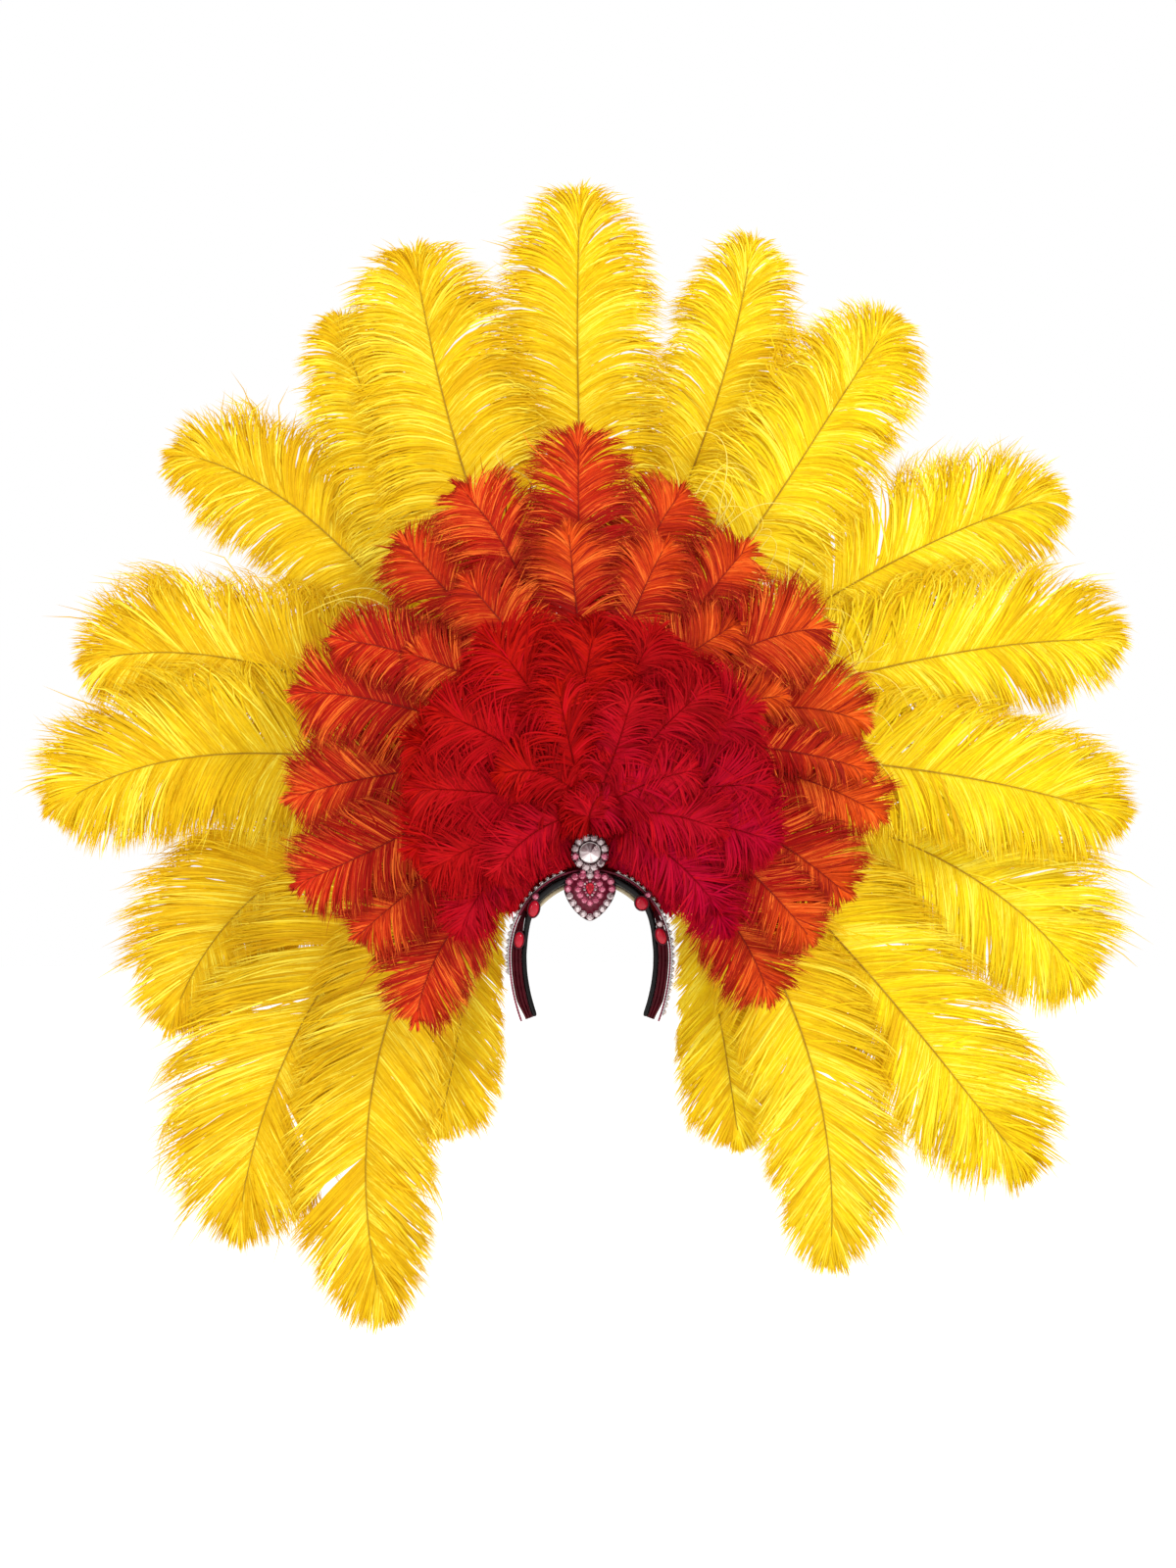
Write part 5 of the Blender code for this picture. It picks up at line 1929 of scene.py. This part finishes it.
ORANGE_EXTRA = (
    Plume(-6, -6, -6, 0.69, 0.92, 3.0, 0.07),
    Plume(-38, -38, -39, 0.66, 0.92, 3.2, 0.07),
    Plume(50, 51, 53, 0.61, 0.81, 3.0, 0.07),
    Plume(76, 77, 79, 0.665, 0.65, 3.2, 0.07),
    Plume(94, 95, 98, 0.94, 0.52, 2.6),
    Plume(130, 131, 133, 0.99, 0.75, 2.8),
    Plume(20, 20, 22, 0.68, 0.90, 2.4, 0.07),
    Plume(-64, -64, -66, 0.66, 0.85, 2.4, 0.07),
)
RED_PLUMES = (
    Plume(-110, -122, -133, 0.93, 0.62, 0),
    Plume(-88, -95, -102, 0.95, 0.92, 1),
    Plume(-60, -64, -67, 1.00, 1.02, 0),
    Plume(-22, -25, -30, 1.05, 1.10, 1),
    Plume(14, 16, 20, 1.00, 1.10, 0),
    Plume(52, 54, 57, 1.00, 1.02, 1),
    Plume(84, 89, 95, 0.97, 0.94, 0),
    Plume(108, 120, 131, 0.95, 0.65, 1),
)
RED_EXTRA = (
    Plume(38, 40, 43, 0.92, 0.80, 1.6, 0.020),
    Plume(58, 62, 68, 0.60, 0.62, 2.4, 0.012),
    Plume(84, 90, 98, 0.70, 0.68, 2.2, 0.012),
    Plume(72, 76, 81, 0.93, 0.80, 1.6, 0.020),
    Plume(92, 94, 99, 0.97, 0.76, 1.4, 0.020),
    Plume(110, 118, 127, 0.83, 0.66, 1.8, 0.020),
    Plume(-44, -50, -57, 0.98, 0.86, 1.6, 0.020),
    Plume(-74, -78, -82, 0.92, 0.92, 1.8, 0.020),
    Plume(-98, -104, -109, 0.88, 0.80, 1.6, 0.020),
    Plume(-8, -4, 2, 0.96, 0.92, 1.6, 0.020),
    Plume(24, 22, 19, 0.70, 0.66, 2.2, 0.012),
    Plume(-30, -46, -68, 0.52, 0.60, 2.6, 0.012),
    Plume(-20, -16, -14, 0.72, 0.72, 2.2, 0.012),
    Plume(-96, -110, -124, 0.60, 0.60, 2.4, 0.012),
    Plume(-118, -131, -139, 0.66, 0.66, -1.6, 0.008),
    Plume(120, 132, 140, 0.66, 0.66, -1.6, 0.008),
    Plume(-140, -150, -152, 0.36, 0.50, -2.2, 0.008),
    Plume(142, 150, 152, 0.36, 0.50, -2.2, 0.008),
    Plume(-60, -90, -112, 0.44, 0.70, -1.8, 0.008),
    Plume(60, 90, 112, 0.44, 0.70, -1.8, 0.008),
    Plume(-20, -10, 0, 0.42, 0.80, -1.8, 0.008),
    Plume(170, 175, 178, 0.24, 0.55, -2.4, 0.006),
    Plume(-34, -30, -22, 0.34, 0.52, 1.4, -0.030),
    Plume(16, 22, 34, 0.36, 0.52, 1.6, -0.030),
    Plume(-80, -74, -64, 0.36, 0.50, 1.2, -0.026),
    Plume(76, 72, 66, 0.38, 0.50, 1.3, -0.026),
    Plume(-104, -106, -110, 0.86, 0.95, -3.5, 0.030),
    Plume(-68, -70, -72, 0.94, 1.05, -3.3, 0.030),
    Plume(-34, -35, -38, 0.98, 1.05, -3.5, 0.030),
    Plume(0, 1, 3, 1.00, 1.05, -3.3, 0.030),
    Plume(36, 37, 39, 0.98, 1.05, -3.5, 0.030),
    Plume(70, 72, 74, 0.94, 1.05, -3.3, 0.030),
    Plume(104, 107, 111, 0.86, 0.95, -3.5, 0.030),
)
YELLOW_SIZES = RingSizes(
    ring=Ring.YELLOW, hub_z=0.167, reach=0.610, width=0.160, quill=0.0029, side=1, stand_off=0.006,
    level_gap=0.014, lean=0.040, curl=0.085, curl_start=0.5, ramp=0.060, down_start=0.05, barbs=2180, segments=6,
    barb_width=0.0024, lock_length=0.014, clump=0.45, ragged=0.20, gravity=0.8, fluff=0.0035, downy=1.40)
ORANGE_SIZES = RingSizes(
    ring=Ring.ORANGE, hub_z=0.167, reach=0.340, width=0.108, quill=0.0020, side=-1, stand_off=0.010,
    level_gap=0.009, lean=-0.015, curl=0.030, curl_start=0.5, ramp=0.026, down_start=0.04, barbs=1050, segments=6,
    barb_width=0.0017, lock_length=0.011, clump=0.90, ragged=0.20, gravity=0.45, fluff=0.0030, loose=0.8, downy=1.35)
RED_SIZES = RingSizes(
    ring=Ring.RED, hub_z=0.079, reach=0.215, width=0.124, quill=0.0018, side=-1, stand_off=0.046,
    level_gap=0.010, lean=-0.015, curl=0.030, curl_start=0.5, ramp=0.030, down_start=0.06, barbs=860, segments=6,
    barb_width=0.0021, lock_length=0.008, clump=0.45, ragged=0.34, gravity=0.5, fluff=0.0080, loose=3.0,
    painted_light_turn=45.0)


@dataclass(frozen=True)
class Tuft:
    """Some loose strands: direction from straight up, first and last radius, and how far they droop."""

    direction: float
    start: float
    end: float
    droop: float
    strands: int


@dataclass
class Wisps:
    """Curly pale strands of down between the orange and the yellow plumes."""

    palette: Palette
    random: np.random.Generator
    hub_z: float = 0.167
    depth: float = -0.004
    width: float = 0.0017
    segments: int = 18
    curl: float = 1.7
    weight: float = 14.0
    tufts: tuple[Tuft, ...] = (
        Tuft(24, 0.24, 0.350, 0.03, 5),
        Tuft(30, 0.25, 0.410, 0.06, 5),
        Tuft(35, 0.23, 0.330, 0.05, 5),
        Tuft(46, 0.22, 0.330, 0.06, 6),
        Tuft(57, 0.24, 0.350, 0.06, 6),
        Tuft(63, 0.24, 0.340, 0.05, 5),
        Tuft(76, 0.25, 0.350, 0.06, 6),
        Tuft(85, 0.26, 0.355, 0.06, 5),
        Tuft(-19, 0.26, 0.345, 0.03, 4),
        Tuft(-56, 0.25, 0.335, 0.04, 4),
    )

    def strand(self, tuft: Tuft) -> Array:
        """Centre line of one strand.

        Args:
            tuft: The tuft that it belongs to.

        Returns:
            Its points.
        """
        share = np.linspace(0, 1, self.segments + 1)
        length = (tuft.end - tuft.start) * self.random.uniform(0.7, 1.25)
        curl = self.random.choice((-1.0, 1.0)) * self.random.uniform(0.5, self.curl)
        swing = self.random.uniform(0.2, 0.55) * np.sin(share * self.random.uniform(4, 9) + self.random.uniform(0, 6))
        heading = math.radians(tuft.direction + self.random.normal(0, 14)) + curl * share**1.6 + swing * share
        steps = np.stack((np.sin(heading), self.random.normal(0, 0.15) * np.ones_like(share), np.cos(heading)), axis=1)
        steps[:, 2] -= tuft.droop * self.weight * share**2
        turn = math.radians(tuft.direction + self.random.normal(0, 4))
        root = np.array((0.0, self.depth, self.hub_z)) + tuft.start * np.array((math.sin(turn), 0.0, math.cos(turn)))
        points = root + np.cumsum(steps, axis=0) * length / self.segments
        return points

    def build(self) -> None:
        """Builds all strands as one piece."""
        shape = Shape()
        wide = self.width / 2 * (1 - 0.7 * np.linspace(0, 1, self.segments + 1))
        for tuft in self.tufts:
            for _ in range(tuft.strands):
                line = self.strand(tuft)
                flat = unit(np.cross(unit(np.gradient(line, axis=0)), np.array((0.0, 1.0, 0.0))))
                rings = np.stack((line - flat * wide[:, None], line + flat * wide[:, None],
                                  line + np.array((0.0, 0.0006, 0.0))), axis=1)
                shape.loft(rings, 0, tone=float(self.random.uniform(0.55, 1.0)))
        shape.build("loose_down", self.palette.pick("pale_down"), "plume_yellow")


@dataclass
class Studio:
    """Pale round floor in white air, soft lights and the camera."""

    floor_z: float = -0.80
    floor_radius: float = 14.0
    aim_x: float = -0.0022
    aim_z: float = 0.112
    distance: float = 4.0
    view_height: float = 1.76
    sensor: float = 36.0
    air_light: float = 0.78

    def build_floor(self) -> None:
        """The floor."""
        around = np.linspace(0, 2 * math.pi, 96, endpoint=False)
        rim = [(self.floor_radius * math.cos(a), self.floor_radius * math.sin(a), self.floor_z) for a in around]
        mesh = bpy.data.meshes.new("studio_floor")
        mesh.from_pydata(rim, [], [tuple(range(len(rim)))])
        material, sheet, shader = new_material("pale_paper")
        grain = sheet.add("TexNoise", {"Scale": 3.0, "Detail": 2.0}).outputs["Fac"]
        colour = sheet.mix(grain, (0.93, 0.93, 0.93, 1), (0.96, 0.96, 0.96, 1))
        set_shader(sheet, shader, Base_Color=colour, Roughness=0.9, Specular_IOR_Level=0.1,
                   Emission_Color=(1, 1, 1, 1), Emission_Strength=0.42)
        mesh.materials.append(material)
        floor = bpy.data.objects.new("studio_floor", mesh)
        bpy.context.scene.collection.objects.link(floor)

    def build_air(self) -> None:
        """White air that lights the headdress a little less brightly than it looks."""
        world = bpy.data.worlds.new("studio_air")
        world.use_nodes = True
        sheet = NodeSheet(world.node_tree)
        seen = sheet.add("LightPath").outputs["Is Camera Ray"]
        strength = sheet.add("MapRange", {0: seen, 3: self.air_light, 4: 1.0}).outputs[0]
        background = world.node_tree.nodes["Background"]
        background.inputs["Color"].default_value = (1.0, 1.0, 1.0, 1.0)
        sheet.tree.links.new(strength, background.inputs["Strength"])
        bpy.context.scene.world = world

    def add_light(self, name: str, place_at: Point, size: float, power: float, colour: Colour) -> None:
        """A soft square light that faces the headdress.

        Args:
            name: Its name.
            place_at: Where it stands.
            size: Its side.
            power: In watts.
            colour: Its colour.
        """
        lamp = bpy.data.lights.new(name, "AREA")
        lamp.shape = "SQUARE"
        lamp.size = size
        lamp.energy = power
        lamp.color = colour
        holder = bpy.data.objects.new(name, lamp)
        holder.location = place_at
        aim = np.array((self.aim_x, 0.0, self.aim_z)) - np.array(place_at)
        tilt = math.atan2(math.hypot(aim[0], aim[1]), -aim[2])
        holder.rotation_euler = (tilt, 0.0, math.atan2(-aim[0], aim[1]))
        bpy.context.scene.collection.objects.link(holder)

    def build(self) -> None:
        """Sets up the floor, the lights and the camera."""
        self.build_floor()
        self.build_air()
        self.add_light("key", (2.4, -2.4, 2.2), 1.1, 70.0, (1.0, 0.98, 0.94))
        for side in Side:
            self.add_light("spark_" + side.name.lower(), (1.4 * side.value, -2.2, 2.1), 0.16, 3.0, (1.0, 1.0, 1.0))
        self.add_light("fill", (-2.6, -2.2, 0.8), 1.4, 16.0, (1.0, 1.0, 1.0))
        camera = bpy.data.cameras.new("camera")
        camera.sensor_width = self.sensor
        camera.lens = self.sensor * self.distance / self.view_height
        camera.clip_end = 50.0
        holder = bpy.data.objects.new("camera", camera)
        holder.location = (self.aim_x, -self.distance, self.aim_z)
        holder.rotation_euler = (math.pi / 2, 0.0, 0.0)
        bpy.context.scene.collection.objects.link(holder)
        bpy.context.scene.camera = holder
        bpy.context.scene.view_settings.view_transform = "Standard"


def main() -> None:
    """Builds the headdress piece by piece and reports each."""
    logging.basicConfig(level=logging.INFO, format="%(name)s: %(message)s")
    random = np.random.default_rng(7)
    Studio().build()
    palette = Palette()
    plate = BackingPlate(palette)
    for label, part in (
        ("headband", Headband(palette)),
        ("edge chains", EdgeChains(palette, random)),
        ("medallion", Medallion(palette, random)),
        ("finial", Finial(palette, random)),
        ("cabochons", Cabochons(palette, random)),
        ("backing plate", plate),
        ("loose down", Wisps(palette, random)),
    ):
        part.build()
        LOG.info("%s built", label)
    for sizes, plumes, extra, seed in (
        (YELLOW_SIZES, YELLOW_PLUMES, (), 11),
        (ORANGE_SIZES, ORANGE_PLUMES, ORANGE_EXTRA, 23),
        (RED_SIZES, RED_PLUMES, RED_EXTRA, 37),
    ):
        triangles = PlumeRing(palette, plate, sizes, plumes, extra, seed).build()
        LOG.info("%s ring built, %d triangles", sizes.ring.value, triangles)


if __name__ == "__main__":
    main()
